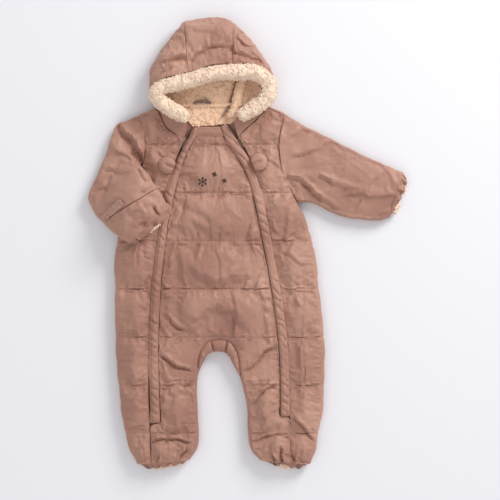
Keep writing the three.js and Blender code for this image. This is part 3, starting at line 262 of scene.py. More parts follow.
HOOD_CENTRE = Table("face_x face_y rim_x rim_y neck_x neck_y", (
    (-95.8, 273.5, -103.8, 356, -95.8, 217.91), (-78, 278, -84, 360, -79, 218.09),
    (-58, 285, -62, 363, -62, 218.28), (-40, 286, -42, 362, -44, 218.48),
    (-26.2, 286, -25.2, 354, -27.2, 218.66),
))
HOOD_RIGHT = Table("face_x face_y rim_x rim_y neck_x neck_y", (
    (-25.6, 286, -24.6, 354, -26.6, 218.66), (-12, 287, -9, 340, -12, 218.85), (2, 287, 8, 320, 2, 219),
    (15, 282, 22, 301, 14, 219.15), (27, 276, 33, 284, 24, 219.6), (36, 266, 40, 269, 32, 228),
))
TRIM_PATH = Table("x y z r", (
    (-97, 199, 36.6, 9), (-109, 206, 37.6, 10), (-123, 214, 38.5, 11), (-137, 224, 39, 11), (-147, 235, 39, 11),
    (-143, 246, 42, 10), (-127, 252, 43, 10.5), (-108, 257, 44, 11), (-88, 261, 44, 11), (-70, 267, 44, 11),
    (-50, 272, 44, 11), (-30, 272.5, 44, 11), (-10, 273, 44, 11.5), (8, 272, 43, 11.5), (22, 265, 42, 11),
    (32, 253, 40, 11), (31, 238, 39.5, 11), (22, 226, 39, 11), (9, 217, 38.5, 11), (-4, 208, 37.6, 10),
    (-16, 202, 36.6, 9),
))
FOLDS = Table(FOLD, (
    (-116, 70, -62, 32, 4, 12), (-92, 36, -60, 8, 3, 11), (-28, -70, -26, -150, 4, 6),
    (-56, -8, -44, -62, 3, 6), (-142, -112, -104, -138, 5, 6), (-142, -180, -92, -204, 5, 6),
    (-106, -230, -86, -218, 4, 5), (-10, -206, 38, -166, 5, 6), (0, -262, 42, -224, 5, 6),
    (70, -276, 104, -316, 5, 5), (50, -14, 92, -38, 4, 6), (60, -72, 82, -104, 4, 6),
    (-148, 148, -120, 128, 4, 6), (12, 140, 46, 124, 4, 6), (-158, -316, -132, -312, 5, 5),
    (-132, -312, -92, -318, 5, 5), (-112, -346, -100, -327, 6, 5), (-145, -338, -146, -354, 4, 4),
    (52, -326, 54, -352, 6, 5), (66, -334, 74, -348, 4, 4), (36, -334, 42, -348, 4, 4),
    (4, -316, 62, -304, 4, 5),
))
FOLDS_SLEEVE_LEFT = Table(FOLD, (
    (-210, 190, -184, 160, 12.0, 10), (-184, 160, -172, 132, 11.0, 9), (-216, 150, -186, 132, 2.5, 7),
    (-236, 118, -200, 112, 2.5, 8), (-246, 84, -210, 92, 3.0, 8), (-178, 118, -164, 96, 3.0, 7),
    (-226, 60, -204, 74, 2.5, 6), (-170, 80, -152, 90, 2.5, 6),
))
FOLDS_SLEEVE_RIGHT = Table(FOLD, (
    (63, 110, 86, 101, 5.0, 6.5), (86, 101, 102, 80, 7.0, 6.5), (102, 80, 117, 68, 7.0, 6.5),
    (117, 68, 140, 54, 3.0, 6), (69, 168, 84, 180, 3.0, 7), (84, 180, 112, 179, 2.5, 7),
    (73, 140, 106, 149, 3.5, 7), (106, 149, 130, 161, 3.0, 7), (112, 108, 136, 92, 3.0, 6),
    (178, 73, 168, 53, 2.5, 5), (196, 96, 214, 116, 2.5, 8), (150, 70, 186, 84, 2.0, 8),
))
FOLDS_COVER = Table(FOLD, (
    (-152, 60, -136, 37, 5.5, 5), (-166, 36, -158, 22, 4.0, 5), (-190, 42, -172, 54, 2.4, 6),
    (-178, 24, -160, 38, 2.6, 6), (-204, 40, -190, 58, 2.2, 6), (-160, 50, -172, 66, 2.0, 5),
))
FOLDS_HOOD = Table(FOLD, (
    (-146, 290, -96, 297, 6.0, 8), (-142, 272, -112, 280, 3.5, 7), (-96, 288, -72, 306, 6.0, 7),
    (-72, 306, -40, 312, 2.5, 9), (-30, 316, -22, 300, 4.0, 6), (-22, 326, 14, 312, 5.5, 7),
    (-18, 300, 24, 290, 3.0, 7), (-90, 338, -56, 330, 2.5, 8),
))
NO_FOLDS = Table(FOLD, (
    (900, 900, 910, 910, 0.0, 5),
))

# Heights and thicknesses, as in the solids
BACK_THICK = 12.0
SEAM_GAP = 0.3
FRONT_REST = BACK_THICK + SEAM_GAP
SEAM_RISE = 2.6
STITCHED_RISE = 9.0
SIDE_ROUND = 42.0
UNDER_ROUND = 16.0
UNDER_RISE = 8.5
PUFF_EDGE = 17.0
QUILT_PITCH = 77.0
QUILT_TOP = 82.0
SLEEVE_THICK = 27.0
SLEEVE_LIFT = 29.2
SLOT = 2.0
HOOD_WALL = 6.0
HOOD_RIM = 19.0
HOOD_CROWN = 45.0
LINING_TOP = 15.0
ZIP_TOP = 16.4
PLACKET_REST = ZIP_TOP + 2 * SEAM_GAP
PLACKET_TOP = 25.5
GRID_STEP = 2.2  # between the points of a cloth grid


def mix(a: Array | float, b: Array | float, f: Array | float) -> Array | float:
    """Returns the value a share f of the way from a to b."""
    return a + (b - a) * f


def ease(f: Array | float) -> Array:
    """Returns a soft step from 0 to 1."""
    g = np.clip(f, 0, 1)
    return g * g * (3 - 2 * g)


def rounded(f: Array | float) -> Array:
    """Returns a quarter-round rise from 0 to 1."""
    return np.sqrt(1 - (1 - np.clip(f, 0, 1)) ** 2)


def to_line(xy: Array, line: Array) -> Array:
    """Measures how far points lie from a broken line.

    Args:
        xy: the points, one a row.
        line: the line's corners, one a row.

    Returns:
        The distance of each point.
    """
    a, b = line[:-1], line[1:]
    run = b - a
    length = np.maximum((run**2).sum(1), 1e-9)
    least = np.full(len(xy), np.inf)
    for start, way, square in zip(a, run, length):
        off = xy - start
        f = np.clip(off @ way / square, 0, 1)
        least = np.minimum(least, np.hypot(*(off - f[:, None] * way).T))
    return least


def edge(rows: Columns, side: str) -> Array:
    """Returns one edge of a table as points."""
    return np.stack([rows[side + "_x"], rows[side + "_y"]], 1)


def thinned(line: Array, most: int = 60) -> Array:
    """Returns a line with fewer corners."""
    return line[np.unique(np.linspace(0, len(line) - 1, min(most, len(line))).astype(int))]


def noise(xy: Array, size: float, seed: int) -> Array:
    """Makes smooth, repeatable value noise.

    Args:
        xy: the points.
        size: the distance between its random values.
        seed: which pattern.

    Returns:
        A value from -1 to 1 for each point.
    """
    rng = np.random.default_rng(seed)
    grid = rng.uniform(-1, 1, (97, 97))
    place = xy / size
    cell = np.floor(place).astype(int)
    f = ease(place - cell)
    i, j = cell[:, 0] % 96, cell[:, 1] % 96
    low = mix(grid[i, j], grid[i + 1, j], f[:, 0])
    high = mix(grid[i, j + 1], grid[i + 1, j + 1], f[:, 0])
    return mix(low, high, f[:, 1])


def grid_noise(grid: Array, size: float, seed: int) -> Array:
    """Returns the noise at the points of a grid."""
    return noise(grid[:, :, :2].reshape(-1, 2), size, seed).reshape(grid.shape[:2])


def wrinkles(xy: Array, seed: int, deep: float = 1.3) -> Array:
    """Returns the soft, long wrinkles of thin cloth over padding.

    Args:
        xy: the points.
        seed: which pattern.
        deep: how high the wrinkles stand, in millimetres.

    Returns:
        The height at each point.
    """
    height = np.zeros(len(xy))
    for number, (angle, long, thin) in enumerate(((-0.6, 34.0, 9.0), (0.75, 30.0, 8.0), (0.1, 26.0, 7.0))):
        c, s = math.cos(angle), math.sin(angle)
        turned = np.stack([(xy[:, 0] * c + xy[:, 1] * s) / long, (xy[:, 1] * c - xy[:, 0] * s) / thin], 1)
        ridge = np.clip(1 - 2.4 * np.abs(noise(turned, 1.0, seed + number)), 0, 1) ** 1.6
        height += deep * (ridge - 0.3) * ease(0.45 + 1.3 * noise(xy, 46, seed + 20 + number))
    return height


def quilting(y: Array) -> Array:
    """Returns 0 on a row of quilting and 1 midway between two."""
    across = (QUILT_TOP - y) / QUILT_PITCH
    off = np.abs(across - np.round(across)) * 2
    return (1 - (1 - off) ** 2.2) ** 0.6


def quilt_away(y: Array) -> Array:
    """Returns the distance to the nearest row of quilting."""
    across = (QUILT_TOP - y) / QUILT_PITCH
    return np.abs(across - np.round(across)) * QUILT_PITCH


def along_armhole(rows: Columns, sleeve: Table, side: str, outward: float) -> Columns:
    """Lets the edge of a panel follow the first row of its sleeve.

    Args:
        rows: the panel's rows.
        sleeve: the table of the sleeve.
        side: which of the panel's edges runs along the armhole.
        outward: -1 for the viewer's left, 1 for the right.

    Returns:
        The same rows, changed.
    """
    out_x, out_y, in_x, in_y, hollow = sleeve.rows[0]
    f = np.linspace(0, 1, 61)
    bulge = 4 * f * (1 - f) * hollow
    length = math.hypot(in_x - out_x, in_y - out_y)
    y = mix(out_y, in_y, f) + bulge * (out_x - in_x) / length
    x = mix(out_x, in_x, f) + bulge
    here = rows[side + "_y"]
    kept = (here <= out_y) & (here >= in_y)
    found = np.interp(here, y[::-1], x[::-1]) - outward * 1.4 * SEAM_GAP
    rows[side + "_x"] = np.where(kept, found, rows[side + "_x"])
    return rows


def zip_shows(y: Array) -> Array:
    """Returns how far the zip shows beside its placket: most at the slider."""
    return 0.6 + 5.2 * ease((y - 112) / 44)


def along_zip(rows: Columns, placket: Table, outward: float) -> Columns:
    """Lets the inner edge of a side panel run beside the zip.

    Args:
        rows: the panel's rows.
        placket: the table of the placket over that zip.
        outward: -1 for the viewer's left, 1 for the right.

    Returns:
        The same rows, changed.
    """
    line = placket.smooth(200)
    here = rows["in_y"]
    kept = (here <= 171) & (here >= line["out_y"][-1] + 3)
    found = np.interp(here, line["out_y"][::-1], line["out_x"][::-1])
    found = found + outward * (zip_shows(here) + 1.6 * SEAM_GAP)
    rows["in_x"] = np.where(kept, found, rows["in_x"])
    return rows


class Outlines:
    """The lines on which the pieces of the body are sewn, worked out once from the tables."""

    def __init__(self) -> None:
        """Works the lines out."""
        last = CENTRE_BODY.rows[-1]
        left_x, left_y, mid_x, right_x, _ = last
        self.split_left = (left_x, left_y, mid_x, left_y)
        self.split_right = (right_x, left_y, mid_x, left_y)
        self.body = CENTRE_BODY.smooth(130)
        self.leg_left = Table(CENTRE_LEG_LEFT.columns, (self.split_left, *CENTRE_LEG_LEFT.rows)).smooth(80)
        self.leg_right = Table(CENTRE_LEG_RIGHT.columns, (self.split_right, *CENTRE_LEG_RIGHT.rows)).smooth(80)
        self.side_left = along_zip(along_armhole(FRONT_LEFT.smooth(200), SLEEVE_LEFT, "out", -1), PLACKET_LEFT, -1)
        self.side_right = along_zip(
            along_armhole(FRONT_RIGHT.smooth(206), SLEEVE_RIGHT, "out", 1), PLACKET_RIGHT, 1
        )
        under_left = self.side_left["out_y"] < 120
        under_right = self.side_right["out_y"] < 66
        crotch = np.array([[-61.0, -155.0], [-47.0, -153.0], [-34.0, -155.0]])
        self.free = [
            thinned(edge(self.side_left, "out")[under_left]),
            thinned(edge(self.side_right, "out")[under_right]),
            thinned(edge(self.leg_left, "in")),
            thinned(edge(self.leg_right, "in")),
            crotch,
        ]

    def scalloped(self, xy: Array) -> Array:
        """Lets the side outlines bulge a little between the rows of quilting.

        Args:
            xy: the points.

        Returns:
            The points, moved.
        """
        near = np.exp(-((np.min([to_line(xy, line) for line in self.free[:2]], axis=0) / 13) ** 2))
        bulge = 2.0 * (quilting(xy[:, 1]) - 0.62) + 0.8 * noise(np.stack([xy[:, 1], xy[:, 1] * 0], 1), 11, 17)
        moved = xy.copy()
        moved[:, 0] += np.sign(xy[:, 0] + 44) * near * bulge
        return moved

    def to_free(self, xy: Array) -> Array:
        """Returns the distance to the free outline of body and legs."""
        return np.min([to_line(xy, line) for line in self.free], axis=0)


def creases(xy: Array, table: Table) -> Array:
    """Returns the depth of the listed creases, with a soft ridge beside each.

    Args:
        xy: the points.
        table: where the creases run, and how deep and wide they are.

    Returns:
        How far each point is pressed down; less than nothing on a ridge.
    """
    depth = np.zeros(len(xy))
    for number, (x_from, y_from, x_to, y_to, deep, wide) in enumerate(table.rows):
        start, end = np.array([x_from, y_from]), np.array([x_to, y_to])
        way = end - start
        length = np.hypot(*way)
        unit, normal = way / length, np.array([-way[1], way[0]]) / length
        off = xy - start
        along = off @ unit / length
        wave = 0.05 * length * np.sin(along * 5 + number) * ease(along * (1 - along) * 4)
        away = off @ normal + wave
        reach = ease((along + 0.12) / 0.3) * ease((1.12 - along) / 0.3)
        thin = wide * 0.36
        slope = np.where(away < 0, np.exp(-np.abs(away) / (4.2 * thin)), np.exp(-((away / (0.9 * thin)) ** 2)))
        trough = deep * (0.55 * np.exp(-((away / thin) ** 2)) + 0.45 * slope)
        ridge = 0.5 * deep * np.exp(-(((away - 2.0 * thin) / (thin * 1.5)) ** 2))
        depth += reach * (trough - ridge)
    return depth


class Skin:
    """Points and faces of one closed piece of cloth, in millimetres."""

    def __init__(self) -> None:
        """Starts with nothing."""
        self.points: list[Array] = []
        self.faces: Faces = []
        self.count = 0

    def add_grid(self, grid: Array, turned: bool = False, wrapped: bool = False) -> None:
        """Adds a grid of four-sided faces.

        Args:
            grid: rows by columns by three.
            turned: whether its faces look the other way.
            wrapped: whether the last column joins the first.
        """
        rows, columns = grid.shape[:2]
        index = self.count + np.arange(rows * columns).reshape(rows, columns)
        if wrapped:
            index = np.concatenate([index, index[:, :1]], 1)
        a, b, c, d = index[:-1, :-1], index[1:, :-1], index[1:, 1:], index[:-1, 1:]
        order = (a, d, c, b) if turned else (a, b, c, d)
        self.faces.extend(map(tuple, np.stack([part.ravel() for part in order], 1).tolist()))
        self.points.append(grid.reshape(-1, 3))
        self.count += rows * columns

    def merged(self, near: float = 0.01) -> tuple[Array, Faces]:
        """Joins points at the same place and drops faces without area.

        Args:
            near: how close two points are joined, in millimetres.

        Returns:
            The points and the faces.
        """
        points = np.concatenate(self.points)
        keys = np.round(points / near).astype(np.int64)
        _, first, back = np.unique(keys, axis=0, return_index=True, return_inverse=True)
        faces = []
        for face in self.faces:
            joined = [int(back.ravel()[i]) for i in face]
            kept = [v for n, v in enumerate(joined) if v != joined[n - 1]]
            if len(kept) > 2:
                faces.append(tuple(kept))
        return points[first], faces


def in_metres(points: Array) -> Array:
    """Returns points moved from the tables' frame to the centred one, in metres."""
    return (points + np.array([SHIFT_X, 0, 0])) * MM


def make_object(name: str, points: Array, faces: Sequence[tuple[int, ...]]) -> bpy.types.Object:
    """Makes a mesh object at the origin.

    Args:
        name: the piece's name.
        points: its points in millimetres, in the tables' frame.
        faces: its faces.

    Returns:
        The object, linked to the scene.
    """
    mesh = bpy.data.meshes.new(name)
    mesh.from_pydata(in_metres(points).tolist(), [], [list(face) for face in faces])
    mesh.validate()
    mesh.shade_smooth()
    mesh.set_sharp_from_angle(angle=math.radians(58))
    made = bpy.data.objects.new(name, mesh)
    bpy.context.scene.collection.objects.link(made)
    return made


def rim_of(faces: Iterable[tuple[int, ...]]) -> list[tuple[int, int]]:
    """Returns the directed edges that only one face uses."""
    used = set()
    for face in faces:
        used.update(zip(face, face[1:] + face[:1]))
    return [(a, b) for a, b in used if (b, a) not in used]


def spread(points: Array, faces: Faces, by: float) -> Array:
    """Moves the rim of a sheet outwards, so that it meets the piece sewn to it.

    Args:
        points: the sheet's points.
        faces: its faces, looking up.
        by: how far, in millimetres.

    Returns:
        The points, moved.
    """
    rim = np.array(rim_of(faces))
    way = points[rim[:, 1], :2] - points[rim[:, 0], :2]
    out = np.stack([way[:, 1], -way[:, 0]], 1)
    out /= np.maximum(np.linalg.norm(out, axis=1), 1e-6)[:, None]
    total = np.zeros((len(points), 2))
    for k in (0, 1):
        np.add.at(total, rim[:, k], out)
    long = np.linalg.norm(total, axis=1)
    moved = points.copy()
    touched = long > 0.3
    moved[touched, :2] += by * total[touched] / long[touched, None]
    return moved


def close_over(points: Array, faces: Faces, floor: Array | float) -> tuple[Array, Faces]:
    """Closes an open sheet with a copy of itself under it.

    Args:
        points: the sheet's points.
        faces: its faces, looking up.
        floor: the height of the copy, for all points or for each.

    Returns:
        The points and faces of the closed piece.
    """
    points = spread(points, faces, SEAM_GAP * 1.2)
    low = points.copy()
    low[:, 2] = floor
    count = len(points)
    closed = list(faces)
    closed += [tuple(count + v for v in reversed(face)) for face in faces]
    closed += [(b, a, count + a, count + b) for a, b in rim_of(faces)]
    return np.concatenate([points, low]), closed


@dataclass(frozen=True)
class Puff:
    """How a padded panel swells between its stitch lines."""

    pressure: float = 6.0
    growth: float = 0.085  # how much longer the outer cloth is than its stitched outline
    rise: float = 7.5  # most that a point moves up, in millimetres
    sink: float = 2.0  # most that it moves down
    slide: float = 4.0  # most that it moves sideways
    frames: int = 14
    bend: float = 0.25

    def relax(self, points: Array, faces: Faces, sewn: Array) -> Array:
        """Lets the sheet swell and wrinkle as cloth.

        Args:
            points: the sheet's points in millimetres.
            faces: its faces, looking outwards.
            sewn: 1 where a point is stitched down, 0 where it is free.

        Returns:
            The points after the cloth has settled.
        """
        sheet = make_object("relaxing", points, faces)
        held = sheet.vertex_groups.new(name="sewn")
        for share in np.unique(np.round(sewn, 2)):
            if share > 0:
                held.add(np.flatnonzero(np.round(sewn, 2) == share).tolist(), float(share), "REPLACE")
        cloth = sheet.modifiers.new("cloth", "CLOTH")
        settings = cloth.settings
        for label, value in {
            "quality": 6, "mass": 0.12, "tension_stiffness": 18, "compression_stiffness": 18, "shear_stiffness": 6,
            "bending_stiffness": self.bend, "air_damping": 2, "vertex_group_mass": "sewn", "pin_stiffness": 1,
            "shrink_min": -self.growth, "use_pressure": True, "uniform_pressure_force": self.pressure,
        }.items():
            setattr(settings, label, value)
        settings.effector_weights.gravity = 0
        cloth.collision_settings.use_collision = False
        scene = bpy.context.scene
        for number in range(1, self.frames + 1):
            scene.frame_set(number)
        settled = sheet.evaluated_get(bpy.context.evaluated_depsgraph_get())
        flat = np.empty(len(points) * 3, dtype=np.float32)
        settled.data.vertices.foreach_get("co", flat)
        moved = flat.reshape(-1, 3) / MM - np.array([SHIFT_X, 0, 0]) - points
        scene.frame_set(1)
        bpy.data.objects.remove(sheet)
        moved[:, 2] = np.clip(moved[:, 2], -self.sink, self.rise)
        moved[:, :2] = np.clip(moved[:, :2], -self.slide, self.slide)
        return points + moved


def across(rows: Columns, start: str, end: str, columns: int) -> Array:
    """Spreads points across each row of a table.

    Args:
        rows: the table's rows.
        start: the side that the first column lies on.
        end: the side of the last column.
        columns: how many columns.

    Returns:
        Rows by columns by two.
    """
    f = np.linspace(0, 1, columns)[None, :]
    x = mix(rows[start + "_x"][:, None], rows[end + "_x"][:, None], f)
    y = mix(rows[start + "_y"][:, None], rows[end + "_y"][:, None], f)
    return np.stack([x, y], 2)


def from_left(rows: Columns, columns: int, mirrored: bool) -> Array:
    """Spreads points across each row from the viewer's left to the right."""
    return across(rows, "in", "out", columns) if mirrored else across(rows, "out", "in", columns)


def at_height(grid: Array, z: Array) -> Array:
    """Gives each point of a flat grid its height."""
    return np.concatenate([grid, z[:, :, None]], 2)


def level(grid: Array, z: float = 0.0) -> Array:
    """Gives a flat grid one height."""
    return at_height(grid, np.full(grid.shape[:2], z))


def closed_pad(name: str, grid: Array, low: float, turned: bool = False) -> bpy.types.Object:
    """Makes a piece of its top and a flat underside.

    Args:
        name: the piece's name.
        grid: its top.
        low: the height of its underside.
        turned: whether the grid's faces have to be turned to look up.

    Returns:
        The finished piece.
    """
    skin = Skin()
    skin.add_grid(grid, turned)
    return make_object(name, *close_over(*skin.merged(), low))


def walled(name: str, upper: Array, lower: Array) -> bpy.types.Object:
    """Makes a piece of two grids and the walls between them.

    Args:
        name: the piece's name.
        upper: the outer grid.
        lower: the grid under it, of the same shape.

    Returns:
        The finished piece.
    """
    skin = Skin()
    skin.add_grid(upper)
    skin.add_grid(lower, turned=True)
    skin.add_grid(np.stack([lower[0], upper[0]]))
    skin.add_grid(np.stack([upper[-1], lower[-1]]))
    skin.add_grid(np.stack([upper[:, 0], lower[:, 0]]))
    skin.add_grid(np.stack([lower[:, -1], upper[:, -1]]))
    return make_object(name, *skin.merged())


def even_columns(rows: Columns, step: float = GRID_STEP) -> int:
    """Returns how many columns a panel needs for square faces."""
    wide = np.hypot(rows["out_x"] - rows["in_x"], rows["out_y"] - rows["in_y"])
    return max(4, round(float(np.percentile(wide, 75)) / step) + 1)


def puckers(xy: Array, line: Array, seed: int, reach: float = 15.0, deep: float = 1.6) -> Array:
    """Returns short gathers that run away from a stitched line.

    Args:
        xy: the points.
        line: the stitched line.
        seed: which pattern.
        reach: how far the gathers run, in millimetres.
        deep: how deep they are.

    Returns:
        The height of each point's gather.
    """
    away = to_line(xy, line)
    near = away < reach
    height = np.zeros(len(xy))
    if not near.any():
        return height
    run = run_along(line)
    dots = np.linalg.norm(xy[near, None, :] - line[None, :, :], axis=2)
    along = run[np.argmin(dots, axis=1)]
    place = np.stack([along, away[near] * 0.25], 1)
    wave = noise(place, 5.5, seed) + 0.5 * noise(place, 2.9, seed + 1)
    fade = np.sin(math.pi * np.clip(away[near] / reach, 0, 1)) ** 0.7
    height[near] = deep * wave * fade
    return height


@dataclass
class FrontBody:
    """The three front panels: the centre with the inner legs, and the two sides."""

    lines: Outlines
    swell: Puff = field(default_factory=Puff)
    start_puff: float = 4.8  # height of the padding before it swells
    half_width: float = 93.6  # usual width of half the centre
    pucker_reach: float = 17.0
    stitched_half: float = 1.6  # half the width of a stitched row of quilting
    held_edge: float = 5.0  # how far in the free outline is held
    crease_share: tuple[float, float] = (0.62, 1.45)  # depth of the creases on the chest and on the legs
    legs_from: float = -100.0

    def top(self, xy: Array, seams: list[Array]) -> Array:
        """Returns the height of the front before the cloth swells."""
        side = rounded(self.lines.to_free(xy) / SIDE_ROUND)
        sewn = np.min([to_line(xy, line) for line in seams], axis=0)
        base = FRONT_REST + mix(SEAM_RISE, STITCHED_RISE, side)
        puff = rounded(sewn / PUFF_EDGE) * mix(0.3, 1.0, quilting(xy[:, 1])) * side
        return base + self.start_puff * puff

    def finish_sheet(self, name: str, skin: Skin, seams: list[Array], seed: int) -> bpy.types.Object:
        """Swells an open sheet, presses its creases in and closes it.

        Args:
            name: the piece's name.
            skin: the open sheet.
            seams: the lines on which it is sewn.
            seed: which pattern its gathers have.

        Returns:
            The finished piece.
        """
        points, faces = skin.merged()
        xy = points[:, :2].copy()
        points[:, 2] = self.top(xy, seams)
        rim = np.unique(np.array(rim_of(faces)).ravel())
        sewn = np.zeros(len(points))
        sewn[rim] = 1
        sewn[quilt_away(xy[:, 1]) < self.stitched_half] = 1
        near_free = self.lines.to_free(xy)
        sewn[near_free < self.held_edge] = 1
        settled = self.swell.relax(points, faces, sewn)
        side = rounded(near_free / SIDE_ROUND)
        lift = np.zeros(len(points))
        for number, line in enumerate(seams):
            lift += puckers(xy, thinned(line, 160), seed + number, self.pucker_reach)
        for number in range(-4, 6):
            row = np.stack([np.linspace(-220, 130, 170), np.full(170, QUILT_TOP - QUILT_PITCH * number)], 1)
            lift += puckers(xy, row, seed + 31 + number)
        lift += 0.8 * noise(xy, 21, seed + 77) + 0.25 * noise(xy, 9, seed + 78) + wrinkles(xy, seed + 80, 1.25)
        for number, hem in enumerate((FOOT_HEM_LEFT, FOOT_HEM_RIGHT)):
            out_x, out_y, in_x, in_y, _ = hem.rows[0]
            f = np.linspace(0, 1, 60)
            line = np.stack([mix(out_x, in_x, f), mix(out_y, in_y, f)], 1)
            lift += puckers(xy, line, seed + 90 + number, 34.0, 2.6)
        lift -= 1.5 * np.exp(-((quilt_away(xy[:, 1]) / 2.3) ** 2))
        sewn_away = np.min([to_line(xy, line) for line in seams], axis=0)
        loose = rounded(sewn_away / 8) * side
        lower = ease((self.legs_from - xy[:, 1]) / 60)
        settled[:, 2] += (lift - creases(xy, FOLDS) * mix(*self.crease_share, lower)) * loose
        settled[rim] = points[rim]
        settled[:, :2] = self.lines.scalloped(settled[:, :2])
        return make_object(name, *close_over(settled, faces, FRONT_REST))

    def centre(self) -> bpy.types.Object:
        """Makes the front centre with both inner legs."""
        body = self.lines.body
        middle_y = (body["left_y"] + body["right_y"]) / 2
        full = {**body, "mid_y": middle_y}
        run = np.abs(np.diff(middle_y)).sum()
        at = np.linspace(0, len(middle_y) - 1, round(run / GRID_STEP) + 1)
        rows = {name: np.interp(at, np.arange(len(column)), column) for name, column in full.items()}
        columns = round(self.half_width / GRID_STEP)
        skin = Skin()
        for first, last, leg in (("left", "mid", self.lines.leg_left), ("mid", "right", self.lines.leg_right)):
            below = from_left(even_rows(leg, GRID_STEP), columns, mirrored=last == "right")
            skin.add_grid(level(np.concatenate([across(rows, first, last, columns), below[1:]])))
        seams = [
            thinned(edge(body, "left")), thinned(edge(body, "right")),
            np.array([[-83.0, 172.0], [-42.0, 172.0]]),
            thinned(edge(self.lines.leg_left, "out")), thinned(edge(self.lines.leg_right, "out")),
        ]
        return self.finish_sheet("front_centre_cloth", skin, seams, 11)

    def side(self, name: str, rows: Columns, mirrored: bool, seed: int) -> bpy.types.Object:
        """Makes one of the two side panels."""
        even = even_rows(rows, GRID_STEP)
        skin = Skin()
        skin.add_grid(level(from_left(even, even_columns(even), mirrored)))
        armpit = 66 if mirrored else 128
        seams = [
            thinned(edge(rows, "in")),
            thinned(edge(rows, "out")[rows["out_y"] > armpit]),
            np.array([[rows["in_x"][0], rows["in_y"][0]], [rows["out_x"][0], rows["out_y"][0]]]),
        ]
        return self.finish_sheet(name, skin, seams, seed)


@dataclass
class Back:
    """The back of body and legs, with its flat underside."""

    lines: Outlines
    columns: int = 22

    def build(self) -> bpy.types.Object:
        """Makes the back panel."""
        body = BACK_BODY.smooth(120)
        along_armhole(body, SLEEVE_LEFT, "left", -1)
        along_armhole(body, SLEEVE_RIGHT, "right", 1)
        body["mid_y"] = (body["left_y"] + body["right_y"]) / 2
        left_x, left_y, mid_x, right_x, right_y = BACK_BODY.rows[-1]
        crotch_y = (left_y + right_y) / 2
        skin = Skin()
        for first, last, x, y, leg in (
            ("left", "mid", left_x, left_y, BACK_LEG_LEFT), ("mid", "right", right_x, right_y, BACK_LEG_RIGHT),
        ):
            rows = Table(leg.columns, ((x, y, mid_x, crotch_y), *leg.rows)).smooth(38)
            below = from_left(rows, self.columns, mirrored=last == "right")
            half = np.concatenate([across(body, first, last, self.columns), below[1:]])
            skin.add_grid(level(half, BACK_THICK))
        points, faces = skin.merged()
        away = self.lines.to_free(points[:, :2])
        floor = UNDER_RISE * (1 - rounded(away / UNDER_ROUND))
        points[:, :2] = self.lines.scalloped(points[:, :2])
        return make_object("back_cloth", *close_over(points, faces, floor))


class Profile(Enum):
    """How the thickness of a tube goes from its first value to its second along its length."""

    STRAIGHT = "straight"
    EARLY = "early"  # soon at the second value, and stays there
    ROUND = "round"  # at the second value halfway, and back

    def share(self, f: Array) -> Array:
        """Returns the share of the way from the first value to the second."""
        if self is Profile.EARLY:
            return ease(f * 3)
        return np.sin(math.pi * f) ** 0.5 if self is Profile.ROUND else f


